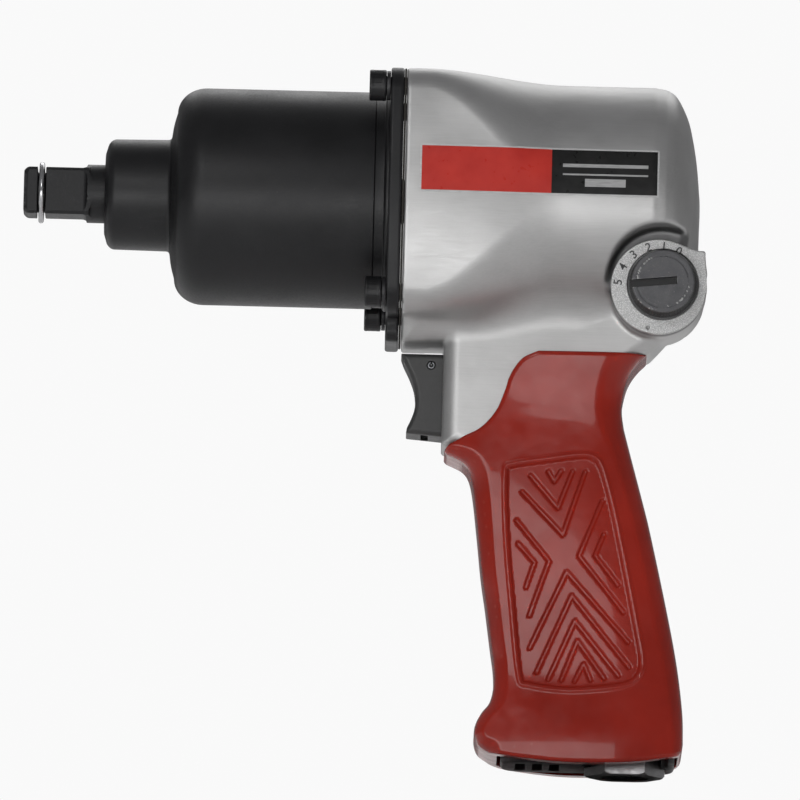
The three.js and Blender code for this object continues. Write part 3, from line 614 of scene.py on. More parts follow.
def rating_plate():
    """A printed foil: two plain fields, a bright border and three bars."""
    p = Paint("rating_plate", Specular_IOR_Level=0.25)
    x, z = p.axis("X"), p.axis("Z")
    low, high = plate_low, plate_high
    split = low.x + 0.55 * (high.x - low.x)
    mottle = p.noise(8, 4)
    red = p.ramp(mottle, (0.3, (0.5, 0.032, 0.024)), (0.7, (0.58, 0.042, 0.03)))
    black = p.ramp(mottle, (0.3, (0.011, 0.011, 0.011)), (0.7, (0.018, 0.018, 0.018)))
    silver = p.ramp(p.noise((3, 0.3, 0.3), 4), (0.3, 0.45), (0.7, 0.62))
    base = p.mix(p.between(x, split, high.x + 1), red, black)
    edge = 0.45
    inside = p.math(
        "MULTIPLY",
        p.between(x, low.x + edge, high.x - edge),
        p.between(z, low.z + edge, high.z - edge),
    )
    bars = None
    bar_places = ((0.63, 3.0, 26.0, 0.5), (0.44, 3.0, 26.0, 0.25), (0.27, 9.0, 20.0, 1.1))
    for level, start, end, thick in bar_places:
        height = low.z + level * (high.z - low.z)
        bar = p.math(
            "MULTIPLY",
            p.between(x, split + start, split + end),
            p.between(z, height - thick, height + thick),
        )
        bars = bar if bars is None else p.math("MAXIMUM", bars, bar)
    base = p.mix(p.math("MULTIPLY", bars, 0.75), base, silver)
    p.colour(p.mix(inside, silver, base))
    p.rough(p.ramp(p.noise(2, 4), (0.3, 0.26), (0.7, 0.42)))
    return p.bump((mottle, 0.1, 0.1))


def machined(name, dark, light, rough=0.3, metallic=1.0, grain=(0.2, 2.5, 2.5)):
    """Ground or turned metal, with its marks drawn out across one axis."""
    p = Paint(name, Metallic=metallic)
    marks = p.noise(grain, 5, 0.65)
    broad = p.noise(9, 4)
    base = p.ramp(marks, (0.3, dark), (0.7, light))
    p.colour(p.mix(p.ramp(broad, (0.45, 0.0), (0.75, 0.5)), base, tuple(0.7 * v for v in dark)))
    p.rough(p.ramp(p.noise(1.5, 4), (0.3, rough - 0.08), (0.7, rough + 0.12)))
    return p.bump((marks, 0.25, 0.02), (p.noise(0.6, 3), 0.1, 0.02))


def laminate():
    p = Paint("phenolic", Specular_IOR_Level=0.4)
    weave = p.math("MULTIPLY", p.cells(0.5, randomness=0.2), p.noise((0.3, 3, 3)))
    p.colour(p.ramp(weave, (0.05, (0.09, 0.042, 0.018)), (0.4, (0.24, 0.13, 0.06))))
    p.rough(p.ramp(weave, (0.1, 0.5), (0.5, 0.7)))
    return p.bump((weave, 0.4, 0.05))


def matte(name, dark, light, rough, size=0.6):
    p = Paint(name, Specular_IOR_Level=0.35)
    fibres = p.noise(size, 5, 0.7)
    p.colour(p.ramp(fibres, (0.3, dark), (0.7, light)))
    p.rough(p.ramp(fibres, (0.3, rough - 0.08), (0.7, rough + 0.08)))
    return p.bump((fibres, 0.4, 0.05))


STEEL_DARK, STEEL_LIGHT = (0.2, 0.205, 0.215), (0.34, 0.345, 0.36)
PLATED_DARK, PLATED_LIGHT = (0.36, 0.36, 0.365), (0.5, 0.5, 0.505)
BRIGHT_DARK, BRIGHT_LIGHT = (0.42, 0.42, 0.43), (0.6, 0.6, 0.61)

paint = {
    "housing": cast_aluminium(),
    "sparkle": sparkling_aluminium(),
    "black_steel": black_case(),
    "red_grip": red_grip(),
    "black_plastic": black_plastic(),
    "trigger_plastic": black_plastic("trigger_plastic", 0.042, 0.42),
    "knurl": black_plastic("knurl_black", 0.014, 0.4),
    "dial_metal": dial_metal(),
    "rating_plate": rating_plate(),
    "hard_steel": machined("hard_steel", STEEL_DARK, STEEL_LIGHT, 0.34),
    "polished_steel": machined("polished_steel", BRIGHT_DARK, BRIGHT_LIGHT, 0.2),
    "plated_steel": machined("plated_steel", PLATED_DARK, PLATED_LIGHT, 0.34, 0.9, (2.5, 2.5, 0.25)),
    "bronze": machined("bronze", (0.3, 0.17, 0.06), (0.5, 0.31, 0.13), 0.36),
    "phenolic": laminate(),
    "rubber": matte("rubber", (0.008, 0.008, 0.008), (0.02, 0.02, 0.02), 0.6),
    "gasket_fibre": matte("gasket_fibre", (0.018, 0.017, 0.015), (0.05, 0.046, 0.04), 0.85, 0.3),
    "ink": matte("engraving_ink", (0.03, 0.03, 0.03), (0.09, 0.09, 0.09), 0.6),
}


def dress(made, look, body, replaced=None):
    """Gives a piece its material, the body it rides on and the CAD node it replaces."""
    made.data.materials.clear()
    made.data.materials.append(paint[look])
    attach(made, body)
    if replaced:
        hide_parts(replaced)


def grid_size(full):
    return full


# ==== Motor housing ====

dome_outline = Outline(
    [(60, -1), (60, 70), (164, 70), (168.5, 35.5), (171, 32.7)]
    + list(curve_through([(173.4, 31.9), (176.1, 29.8), (179, 24.2), (180.5, 18.6), (181.7, 11.8),
        (182.5, 4), (182.7, -1)])),
    cell=0.5,
)

web_back = curve_through([(165.4, -78), (161.2, -62), (160.6, -54), (163.4, -46.9), (168, -42.4),
    (170.4, -40.9)])
web_rear = curve_through(
    [(170.4, -40.9), (173.4, -37.6), (175.9, -34.6), (178.8, -30.9), (181.2, -26.6),
        (182.4, -21.8), (182.4, -14), (181.8, -6), (181, 2)]
)
web_outline = Outline(
    [(HOUSING_X, 0), (HOUSING_X, -39.7), (114.5, -39.7), (114.5, -67.3), (120, -69.5), (125.2, -76.5)]
    + [(127.4, -95), (130, -115), (131, -146), (178.2, -146), (176.3, -125), (171.6, -102)]
    + list(web_back)
    + list(web_rear)
    + [(178, 8), (150, 8)],
)

boss_outline = Outline(
    [(150, -45), (190, -5)],
    margin=6,
    cell=0.25,
    distance=lambda x, z: smooth_min(
        np.hypot(x - BOSS_X, z - BOSS_Z) - (BOSS_R - 0.2),
        box(x, 0 * x, z, (BOSS_X, -1, -25), (184.2, 1, -14.9), 0.6),
        2.4,
    ),
)


def joint_section(y, z, t=0.0):
    """The joint's crowned square, which turns into the barrel's circle as t goes to 1."""
    crown = (1 - t) * z * z / 230
    return rounded_square(
        np.abs(y) + crown,
        z,
        33.6 + (BARREL_R - 33.6) * t,
        33.4 + (BARREL_R - 33.4) * t,
        6.5 + (BARREL_R - 6.5) * t,
    )


def from_screw(y, z):
    """Distance from the nearest case screw's axis."""
    return np.hypot(np.abs(y) - SCREW_Y, np.abs(z) - SCREW_Z)


def barrel(x, y, z):
    return smooth_max(joint_section(y, z, smoothstep((x - 108) / 38)), dome_outline(x, np.hypot(y, z)), 1.2)


def housing_skin(x, y, z):
    """The casting's outside, without its bores."""
    hidden = 1.3 * smoothstep((-68 - z) / 8)
    web = plate(web_outline(x, z) + hidden, y, WEB_HALF - hidden, 4.5)
    body = smooth_min(barrel(x, y, z), web, 7.0 - 4.5 * smoothstep((x - 150) / 15))
    near_boss = np.maximum(boss_outline(x, z) + 0.1, slab(y, DIAL_FACE_Y + 0.6, 2.0))
    far_boss = smooth_max(np.hypot(x - DIAL_X, z - DIAL_Z) - 9.6, slab(y, 0, 21.6), 2.0)
    body = smooth_min(body, np.minimum(near_boss, far_boss), 1.4)
    channel = smooth_max(np.hypot(x - CHANNEL_X, z - CHANNEL_Z) - CHANNEL_R, y + 22.2, 1.6)
    channel = np.maximum(channel, -boss_outline(x, z))
    above = np.maximum(np.hypot(x - CHANNEL_X, z - CHANNEL_Z) - CHANNEL_R, y - (DIAL_FACE_Y + 0.6))
    body = without(body, np.minimum(channel, above), 1.7)
    lip = np.maximum(rounded_square(y, z + 32.6, 14, 6, 3), slab(x, HOUSING_X, 108))
    shelf = smooth_min(body, lip, 2.0)
    return smooth_max(shelf, HOUSING_X - x, 0.9)


def housing(x, y, z):
    body = housing_skin(x, y, z)
    holes = [
        np.maximum(np.hypot(y, z) - CAVITY_R, slab(x, 90, CAVITY_END)),
        np.maximum(np.hypot(x - DIAL_X, z - DIAL_Z) - 8.1, slab(y, -60, 20)),
        box(x, y, z, (100, -8.4, -65.4), (123.3, 8.4, -39.9), 0.8),
        np.maximum(np.hypot(y, z - ROD_Z) - 7.5, slab(x, 122.8, 152)),
        rod_between(x, y, z, (INLET_X, 0, -150), (147, 0, -50), 5.6),
        rod_between(x, y, z, (INLET_X, 0, -152), (INLET_X, 0, -130.6), 8.5),
        rod_between(x, y, z, (132.5, 0, -60), (146.1, 0, -148), 7.0),
        rod_between(x, y, z, (DIAL_X, -40, DIAL_Z + 10.6), (DIAL_X, -18.6, DIAL_Z + 10.6), 1.45),
    ]
    for hole in holes:
        body = without(body, hole, 0.5)
    return np.maximum(body, -np.maximum(from_screw(y, z) - 2.55, slab(x, 90, 109)))


low, high = (HOUSING_X, -33.8, -146), (184.8, 33.8, 34)
casting = carved("housing_casting", housing, low, high, grid_size(0.7))
dress(casting, "housing", "housing", "motor_housing")

# ==== Scale ring and numerals round the dial ====


def scale_ring(x, y, z):
    face = np.maximum(boss_outline(x, z) - 0.1, -(np.hypot(x - DIAL_X, z - DIAL_Z) - 9.5))
    mark = np.sqrt((x - 169.3) ** 2 + (y - DIAL_FACE_Y) ** 2 + (z + 35.9) ** 2) - 0.42
    face = np.maximum(face, -mark)
    return smooth_max(face, slab(y, DIAL_FACE_Y - 0.1, DIAL_FACE_Y + 1.7), 0.3)


ring = carved("scale_ring", scale_ring, (158.4, -26.7, -38.3), (184.4, -24.7, -11.4), 0.24)
dress(ring, "sparkle", "housing")

NUMERAL_R = 10.95
numerals = []
for digit, degrees in (("5", 175), ("4", 152), ("3", 129), ("2", 106), ("1", 84), ("0", 62)):
    text = bpy.data.curves.new("numeral_" + digit, "FONT")
    text.body = digit
    text.size = 3.25 * MM
    text.offset = 0.04 * MM
    text.extrude = 0.05 * MM
    text.resolution_u = 3
    text.align_x, text.align_y = "CENTER", "CENTER"
    made = bpy.data.objects.new(text.name, text)
    bpy.context.scene.collection.objects.link(made)
    angle = math.radians(degrees)
    centre_x = BOSS_X + NUMERAL_R * math.cos(angle)
    centre_z = BOSS_Z + NUMERAL_R * math.sin(angle)
    made.matrix_world = (
        Matrix.Translation(Vector((centre_x, DIAL_FACE_Y - 0.11, centre_z)) * MM)
        @ Matrix.Rotation(math.pi / 2, 4, "X")
        @ Matrix.Rotation(angle - math.pi / 2, 4, "Z")
    )
    bpy.context.view_layer.update()
    shape = bpy.data.meshes.new_from_object(made.evaluated_get(bpy.context.evaluated_depsgraph_get()))
    shape.transform(made.matrix_world)
    bpy.data.objects.remove(made)
    piece = bpy.data.objects.new("numeral_" + digit, shape)
    bpy.context.scene.collection.objects.link(piece)
    numerals.append(piece)
digits = merged("dial_numerals", *numerals)
dress(digits, "ink", "housing")

# ==== Regulator dial ====

KNOB_BACK, KNOB_FACE = DIAL_FACE_Y - 0.3, -33.4
SLOT_TURN = math.radians(5.7)


def knob(x, y, z):
    u, v = x - DIAL_X, z - DIAL_Z
    r = np.hypot(u, v)
    angle = np.arctan2(v, u)
    ribs = 0.13 * np.abs(np.sin(angle * 34)) + 0.13 * np.abs(np.sin(y * 3.8))
    taper = np.clip((KNOB_BACK - y) / (KNOB_BACK - KNOB_FACE), 0, 1)
    side = r - (9.3 - 0.9 * taper) + ribs * smoothstep((y - KNOB_FACE - 0.6) / 0.5)
    body = smooth_max(side, slab(y, KNOB_FACE, KNOB_BACK), 0.3)
    along = u * math.cos(SLOT_TURN) + v * math.sin(SLOT_TURN)
    across = -u * math.sin(SLOT_TURN) + v * math.cos(SLOT_TURN)
    slot = np.maximum(np.abs(across) - 1.03, slab(along, -15, 3.7))
    slot = np.maximum(slot, slab(y, -50, KNOB_FACE + 1.6))
    body = without(body, slot, 0.12)
    rim = np.maximum(np.abs(r - 7.0) - 0.25, slab(y, -50, KNOB_FACE + 0.08))
    return np.maximum(without(body, rim, 0.1), -np.maximum(r - 3.2, slab(y, -29.8, 0)))


dial = carved("regulator_knob", knob, (163.6, -33.6, -33.6), (182.4, -26.6, -14.7), 0.2)
dial.data.materials.append(paint["dial_metal"])
dial.data.materials.append(paint["knurl"])
for polygon in dial.data.polygons:
    c = polygon.center / MM
    face_depth = 0.5 if math.hypot(c.x - DIAL_X, c.z - DIAL_Z) > 8.2 else 1.45
    polygon.material_index = int(c.y > KNOB_FACE + face_depth)
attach(dial, "regulator")
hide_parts("regulator_dial")

# ==== Rating plate, which follows the casting's side ====

columns, rows = 90, 22
px, pz = np.meshgrid(
    np.linspace(plate_low.x, plate_high.x, columns),
    np.linspace(plate_low.z, plate_high.z, rows),
    indexing="ij",
)
sheet_points = []
for lift in (0.2, -0.25):
    p = np.stack([px.ravel(), np.full(px.size, -34.0), pz.ravel()], 1)
    for _ in range(30):
        p[:, 1] += np.clip(barrel(p[:, 0], p[:, 1], p[:, 2]) - lift, -1, 1) * 0.9
    sheet_points.append(p)
sheet_points = np.vstack(sheet_points)
half = px.size


def grid_index(i, j, layer):
    return layer * half + i * rows + j


sheet_faces = []
for i in range(columns - 1):
    for j in range(rows - 1):
        a, b, c, d = (i, j), (i + 1, j), (i + 1, j + 1), (i, j + 1)
        sheet_faces.append(tuple(grid_index(*q, 0) for q in (a, b, c, d)))
        sheet_faces.append(tuple(grid_index(*q, 1) for q in (d, c, b, a)))
rim_path = (
    [(i, 0) for i in range(columns - 1)]
    + [(columns - 1, j) for j in range(rows - 1)]
    + [(i, rows - 1) for i in range(columns - 1, 0, -1)]
    + [(0, j) for j in range(rows - 1, 0, -1)]
)
for a, b in zip(rim_path, rim_path[1:] + rim_path[:1]):
    sheet_faces.append((grid_index(*a, 0), grid_index(*a, 1), grid_index(*b, 1), grid_index(*b, 0)))
foil = mesh_object("rating_foil", sheet_points, sheet_faces)
clean(foil)
sharpen(foil, 40)
dress(foil, "rating_plate", "housing", "rating_plate")

# ==== Grip cover ====

grip_top = [
    curve_through([(115.2, -69.2), (116.4, -67.6), (120, -65.4), (125, -62.8), (129, -58.2),
        (131.3, -52.6), (132, -50)]),
    curve_through([(132, -50), (133.4, -47), (136, -43.8), (140, -41.9)]),
    [(140, -41.9), (160, -41.8), (168, -41.6), (170.4, -41.2)],
]
grip_back = curve_through(
    [(170.4, -41.2), (167.2, -44.2), (164.6, -48.8), (163.3, -55.5), (163.7, -60.5),
        (165.2, -66.4), (171, -87)]
    + [(176.1, -108.5), (179.5, -124.6), (181.4, -138), (181.7, -147)]
)
grip_bottom = curve_through([(181.7, -147), (180.6, -150.2), (176, -151.4), (166, -152.8),
    (150, -153.2), (136, -152), (128.4, -150.6)])
grip_front = curve_through(
    [(128.4, -150.6), (126, -148.8), (124.9, -145.6), (125.3, -142.6), (126.9, -139.4),
        (128.9, -136.7), (129.8, -132.6)]
    + [(129.7, -127.2), (128.7, -120.5), (127.1, -109.7), (125.8, -101.7), (124.5, -90.9),
        (123.1, -80.1), (121.9, -74.8)]
    + [(120.2, -72.4), (117.7, -71.1), (115.8, -70.3)]
)
grip_real = Outline(np.vstack([*grip_top, grip_back, grip_bottom, grip_front]))
grip_long = Outline(
    np.vstack(
        [
            [(108, -66), (110, -30), (190, -30)],
            curve_through([(178, -36.4), (170.6, -41.2), (167.2, -44.4), (164.6, -48.8),
                (163.3, -55.5), (163.7, -60.5), (165.2, -66.4), (171, -87)]),
            curve_through([(171, -87), (176.1, -108.5), (179.5, -124.6), (181.4, -138), (181.9, -147)]),
            [(182.2, -170), (125, -170)],
            grip_front,
        ]
    )
)
core_outline = Outline(
    [(HOUSING_X, 0), (HOUSING_X, -39.7), (114.2, -39.7), (114.2, -67.6), (119.8, -69.8), (124.9, -76.6)]
    + [(127.1, -95), (129.7, -115), (130.7, -160), (178.5, -160), (176.6, -125), (171.9, -102),
        (165.7, -78)]
    + [(161.4, -62), (160.9, -54), (163.8, -46.2), (168.9, -41.3), (175, -36), (150, 0)],
)

panel = Outline(
    curve_through(
        [(132.6, -75.9), (134.2, -73.7), (143, -72.1), (152.4, -70.7), (155.3, -71.2),
            (157.1, -73.2), (159.9, -82), (163.5, -97.3)]
        + [(167.6, -116.5), (169.2, -125), (168.4, -128.8), (165.4, -131), (157, -132.4),
            (148.5, -132.8), (139.6, -131.6), (137.6, -129.4)]
        + [(135.3, -111.2), (133.3, -92)],
        closed=True,
    ),
    cell=0.25,
)
groove_runs = [
    [(143.5, -74.6), (145.2, -77.2), (146.9, -74.4)],
    [(138.7, -75.8), (146.3, -84.4), (150, -74.4)],
    [(136.6, -80.2), (147.8, -91.6), (153.4, -74.4)],
    [(135.3, -88.0), (144.3, -98.8), (139.3, -113.6)],
    [(135.8, -94.2), (140.4, -99.2), (138.2, -106)],
    [(158.2, -82.2), (152.3, -97.2), (164.6, -112.2)],
    [(158.8, -91.2), (156.6, -97), (162.9, -104.8)],
    [(139.6, -122.4), (149.1, -101.6), (166, -120.2)],
    [(141.6, -129), (150.6, -108), (166.4, -127)],
    [(144.8, -130.8), (151.6, -114.8), (163.6, -129.4)],
    [(148.3, -131), (152.4, -120.2), (159.8, -130.2)],
    [(151.9, -131.2), (154.2, -126.4), (156.2, -130.8)],
]


def nearest_groove(x, z):
    best = np.full(np.broadcast(x, z).shape, 99.0)
    for run in groove_runs:
        for a, b in zip(run, run[1:]):
            best = np.minimum(best, line_distance(x, z, a, b))
    return best


grooves = Outline([(130, -135), (170, -68)], cell=0.2, margin=3, distance=nearest_groove)

GRIP_LEVELS = [38, 47, 57, 68, 100, 120, 131, 138, 145, 154]


def grip_side(x, z):
    """How far the grip's side stands from the middle plane, with its panel and grooves."""
    flare = ramp_through(-z, GRIP_LEVELS, [1.4, 0.75, 0.2, 0.0, 0.0, 0.0, 0.25, 0.95, 1.8, 2.3])
    half_width = GRIP_HALF + flare
    middle = ramp_through(-z, [30, 60, 75, 100, 125, 160], [152, 146, 144.5, 150, 154.5, 154.0])
    crown = 1.5 * np.abs((x - middle) / 22) ** 2.4
    edge = panel(x, z)
    sunk = 0.8 * smoothstep(0.5 - edge / 0.9)
    bead = 0.32 * np.exp(-(((edge - 1.0) / 0.5) ** 2))
    line = grooves(x, z)
    groove = 0.6 * smoothstep((0.92 - line) / 0.72) * smoothstep(-edge / 1.2)
    return half_width - crown - sunk + bead - groove


def grip(x, y, z):
    swell = ramp_through(-z, GRIP_LEVELS, [1.6, 1.0, 0.5, 0.4, 0.4, 0.4, 0.7, 1.35, 2.2, 2.7])
    body = plate(grip_long(x, z), np.abs(y) - swell, GRIP_HALF, 9.5)
    body = smooth_max(body, np.abs(y) - grip_side(x, z), 0.35)
    body = smooth_max(body, grip_real(x, z), 1.2)
    hidden = 1.3 * smoothstep((-68 - z) / 8)
    core = plate(core_outline(x, z) + hidden, y, WEB_HALF + 0.3 - hidden, 3.8)
    body = without(body, core, 0.3)
    return without(body, box(x, y, z, (131.9, -14.1, -165), (180, 14.1, -145.5), 4), 0.6)


low, high = (114.8, -21.6, -154), (182.2, 21.6, -40.6)
cover = carved("grip_cover_moulding", grip, low, high, grid_size(0.42))
dress(cover, "red_grip", "housing", "grip_cover")

# ==== Hammer case, nose bushing and screws ====

shoulder = [
    (49.2 - 8 * math.cos(a), 22.5 + (CASE_R - 22.5) * math.sin(a), 0)
    for a in np.linspace(0.0, math.pi / 2, 17)
]
case_profile = (
    [(NOSE_X, 10.1, 0.2), (NOSE_X, 10.8, 0.5), (22.9, 13.8, 0.8), (24.2, 14.9, 0.8), (39.7, 15.1, 0.9)]
    + [(40.2, 19.0, 1.6)]
    + shoulder
    + [(94.7, CASE_R, 0.2), (94.9, CASE_R - 0.35, 0.1), (97.4, CASE_R - 0.35, 0.2),
        (97.9, CASE_R + 0.6, 0.4)]
    + [(99.5, CASE_R + 0.6, 0.1), (JOINT_X, CASE_R + 0.6, 0.1), (JOINT_X, 26.2, 0.3),
        (46, 26.2, 0.6), (44.6, 24.6, 0.4), (44.6, 10.1, 0.2)]
)
case_body = turned("case_body", case_profile, 0.3, 192)
sharpen(case_body, 50)


def flange(x, y, z):
    square = joint_section(y, z)
    lip = rounded_square(y, z + 32.6, 14, 7.0, 3)
    body = smooth_max(smooth_min(square, lip, 2.0), slab(x, FLANGE_X, JOINT_X), 0.8)
    body = np.maximum(body, -(np.hypot(y, z) - 29.4))
    return np.maximum(body, 2.75 - from_screw(y, z))


case_flange = carved("case_flange", flange, (FLANGE_X, -33.8, -39.8), (JOINT_X, 33.8, 33.6), 0.45)
case = merged("hammer_case_casting", case_body, case_flange)
dress(case, "black_steel", "housing", "hammer_case")


def gasket(x, y, z):
    sheet = smooth_min(joint_section(y, z), rounded_square(y, z + 32.6, 14, 6.4, 3), 2.0) + 0.15
    sheet = np.maximum(sheet, -(np.hypot(y, z) - 29.0))
    sheet = np.maximum(sheet, 2.8 - from_screw(y, z))
    return smooth_max(sheet, slab(x, JOINT_X + 0.05, HOUSING_X - 0.05), 0.3)


seal = carved("joint_gasket", gasket, (JOINT_X, -33.8, -39.4), (HOUSING_X, 33.8, 33.6), 0.3)
dress(seal, "gasket_fibre", "housing", "case_gasket")

bushing_profile = [(22.8, 8.2, 0.5), (22.8, 9.9, 0.4), (44.4, 9.9, 0.4), (44.4, 8.2, 0.5)]
bushing = turned("nose_bushing_turned", bushing_profile, 0.3, 96)
sharpen(bushing, 50)
dress(bushing, "bronze", "housing", "nose_bushing")

SCREW_SEAT = FLANGE_X - 1.2


def cap_screw(x, y, z):
    r = np.hypot(y, z)
    knurl = 0.1 * np.abs(np.sin(np.arctan2(z, y) * 18)) * (x < -1.0) * (x > -3.7)
    head = smooth_max(r - 4.2 + knurl, slab(x, -4.6, 0), 0.5)
    shank = smooth_max(r - SCREW_R, slab(x, -1, 11), 0.6)
    thread = 0.16 * np.sin((x / 0.8) * TAU + np.arctan2(z, y)) * smoothstep((x - 4) / 1.5)
    a = np.abs(y)
    hexagon = np.maximum(a, 0.5 * a + 0.866 * np.abs(z)) - 2.0
    socket = np.maximum(hexagon, slab(x, -9, -2.2))
    cone = r - 2.4 + (x + 4.6)
    return np.maximum(without(np.minimum(head, shank + thread * (r > 1.5)), socket, 0.15), -cone)


screw_points, screw_quads = surface(cap_screw, (-4.6, -4.3, -4.3), (11, 4.3, 4.3), 0.32)
for i, (sy, sz) in enumerate(screw_places, 1):
    screw = mesh_object(f"cap_screw_{i}", screw_points + np.array((SCREW_SEAT, sy, sz)), screw_quads)
    dress(screw, "black_steel", "housing", f"case_screw_{i}")

# ==== Anvil with its friction ring ====

JAWS = ((52.7, 69.9, math.radians(-52)), (72.3, 89.5, math.radians(128)))


def anvil(x, y, z):
    r = np.hypot(y, z)
    square = rounded_square(y, z, 6.35, 6.35, 0.5)
    tip = np.maximum(np.maximum(square, r - 8.45), slab(x, 0, 17.6))
    bevel = (np.maximum(np.abs(y), np.abs(z)) - 5.4 - x) * 0.707
    trim = (r - 7.1 - x) * 0.707
    tip = smooth_max(smooth_max(tip, bevel, 0.3), trim, 0.3)
    groove = np.maximum(-(r - 5.4), np.abs(x - 4.9) - 1.1)
    tip = without(tip, groove, 0.12)
    fillet = np.maximum(r - 7.9, slab(x, 17.2, 90.6))
    body = smooth_min(tip, fillet, 1.4)
    body = np.minimum(body, smooth_max(r - 4.5, slab(x, 60, 94.3), 0.4))
    for low, high, centre in JAWS:
        u = y * math.cos(centre) + z * math.sin(centre)
        v = -y * math.sin(centre) + z * math.cos(centre)
        wedge = np.maximum(np.abs(v) * math.cos(0.244) - u * math.sin(0.244), -u)
        jaw = smooth_max(np.maximum(wedge, slab(x, low, high)), r - 11.3, 0.4)
        body = smooth_min(body, jaw, 0.5)
    return smooth_max(body, -x, 0.3)


drive = carved("anvil_forging", anvil, (0, -11.5, -11.5), (94.4, 11.5, 11.5), grid_size(0.36))
dress(drive, "black_steel", "anvil", "anvil")


def split_ring(x, y, z):
    wire = np.hypot((x - 4.9) * 0.85, np.hypot(y, z) - 7.7) - 0.6
    return np.maximum(wire, -np.maximum(np.abs(y) - 0.6, -z))


snap = carved("friction_ring", split_ring, (4.1, -8.5, -8.5), (5.7, 8.5, 8.5), 0.16)
dress(snap, "polished_steel", "anvil", "retaining_ring")

# ==== Trigger ====

trigger_outline = Outline(
    np.vstack(
        [
            curve_through([(103.0, -42.2), (103.9, -44.6), (105.4, -47.6), (106.7, -51),
                (107.2, -54.5), (107.0, -57.5), (106.1, -60.2), (105.1, -62.4), (104.9, -63.8)]),
            [(114.5, -64.6), (116.5, -64.6), (116.5, -42.2)],
        ]
    ),
    cell=0.2,
    margin=4,
)


def trigger(x, y, z):
    body = plate(trigger_outline(x, z), y, 7.9, 1.5)
    hollow = box(x, y, z, (108.5, -6.2, -64), (130, 6.2, -41.5), 0.8)
    back = np.maximum(hollow, -(np.hypot(y, z - ROD_Z) - 4.6))
    body = without(body, back, 0.4)
    body = without(body, np.maximum(np.hypot(y, z - ROD_Z) - 2.7, slab(x, 107.6, 130)), 0.15)
    return without(body, np.maximum(np.hypot(x - 111.3, z - ROD_Z) - 1.12, slab(y, -9, 9)), 0.15)


lever = carved("trigger_moulding", trigger, (103.6, -8.1, -65.6), (116.7, 8.1, -40.2), 0.3)
dress(lever, "trigger_plastic", "trigger", "trigger")


def roll_pin(x, y, z):
    u, v = x - 111.3, z - ROD_Z
    r = np.hypot(u, v)
    body = np.maximum(smooth_max(r - 1.0, np.abs(y) - 7.85, 0.3), -(r - 0.55))
    return np.maximum(body, -np.maximum(np.abs(u) - 0.15, -v))


pin = carved("roll_pin", roll_pin, (110.2, -7.9, -46.4), (112.4, 7.9, -44.2), 0.12)
dress(pin, "hard_steel", "trigger", "trigger_pin")

# ==== Air inlet and exhaust under the handle ====

INLET_BOTTOM = -155.2


def inlet(x, y, z):
    u = x - INLET_X
    r = np.hypot(u, y)
    a = np.abs(y)
    hexagon = np.maximum(a, 0.5 * a + 0.866 * np.abs(u)) - 9.45
    chamfer = (r - 10.1 - (z - INLET_BOTTOM)) * 0.707
    nut = smooth_max(np.maximum(hexagon, chamfer), slab(z, INLET_BOTTOM, -147), 0.35)
    shank = smooth_max(r - 8.3, slab(z, -147.5, -131), 0.4)
    body = np.minimum(nut, shank)
    thread = 0.28 * np.abs(np.mod(z / 1.41 + np.arctan2(y, u) / TAU, 1.0) - 0.5) * 2
    bore = np.maximum(r - 5.9 + thread * (z > INLET_BOTTOM + 0.6), slab(z, -170, -137.5))
    mouth = (r - 6.4 + (z - INLET_BOTTOM)) * 0.707
    body = np.maximum(body, -bore)
    body = np.maximum(body, -np.maximum(mouth, slab(z, -170, -150)))
    return np.maximum(body, -np.maximum(r - 4.6, slab(z, -139, -120)))


socket = carved("inlet_hexagon", inlet, (154.8, -9.7, -156.6), (177.2, 9.7, -130.8), 0.3)
dress(socket, "plated_steel", "housing", "inlet_bushing")


def deflector(x, y, z):
    flat = rounded_square(x - 155.95, y, 23.45, 13.6, 7)
    body = smooth_max(flat, slab(z, -152.8, -146.4), 1.4)
    for i in range(3):
        slot = rounded_square(x - (137.9 + 4.6 * i), y, 1.4, 8, 1.35)
        body = without(body, slot, 0.3)
    body = without(body, box(x, y, z, (154.6, -20, -160), (177.4, -6, -149.4), 1.0), 0.3)
    return without(body, np.hypot(x - INLET_X, y) - 11.2, 0.3)


vent = carved("exhaust_vent", deflector, (132.3, -13.8, -154.2), (179.6, 13.8, -146.2), 0.4)
dress(vent, "black_plastic", "housing", "exhaust_deflector")

# ==== The CAD's own pieces that stay ====

KEPT_SLOTS = ("bronze", "hard_steel", "polished_steel", "phenolic", "rubber")
KEPT_SLOTS += ("gasket_fibre", "black_steel", "black_plastic")
slot_of = {row["node"]: row["material_slot"] for row in frame["record"]["subparts"]}
for node, made in frame["nodes"].items():
    look = "black_steel" if node.startswith("lock_washer") else slot_of[node]
    if slot_of[node] in KEPT_SLOTS:
        made.data.materials.clear()
        made.data.materials.append(paint[look])
    made.data.polygons.foreach_set("use_smooth", [True] * len(made.data.polygons))
    weld = made.modifiers.new("weld", "WELD")
    weld.merge_threshold = 0.00001
    soften = made.modifiers.new("soften", "BEVEL")
    soften.width = 0.15 * MM
    soften.segments = 2
    soften.limit_method = "ANGLE"
    soften.angle_limit = math.radians(35)

spring = frame["nodes"]["throttle_spring"]
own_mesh(spring)

# ==== Floor, light and camera ====

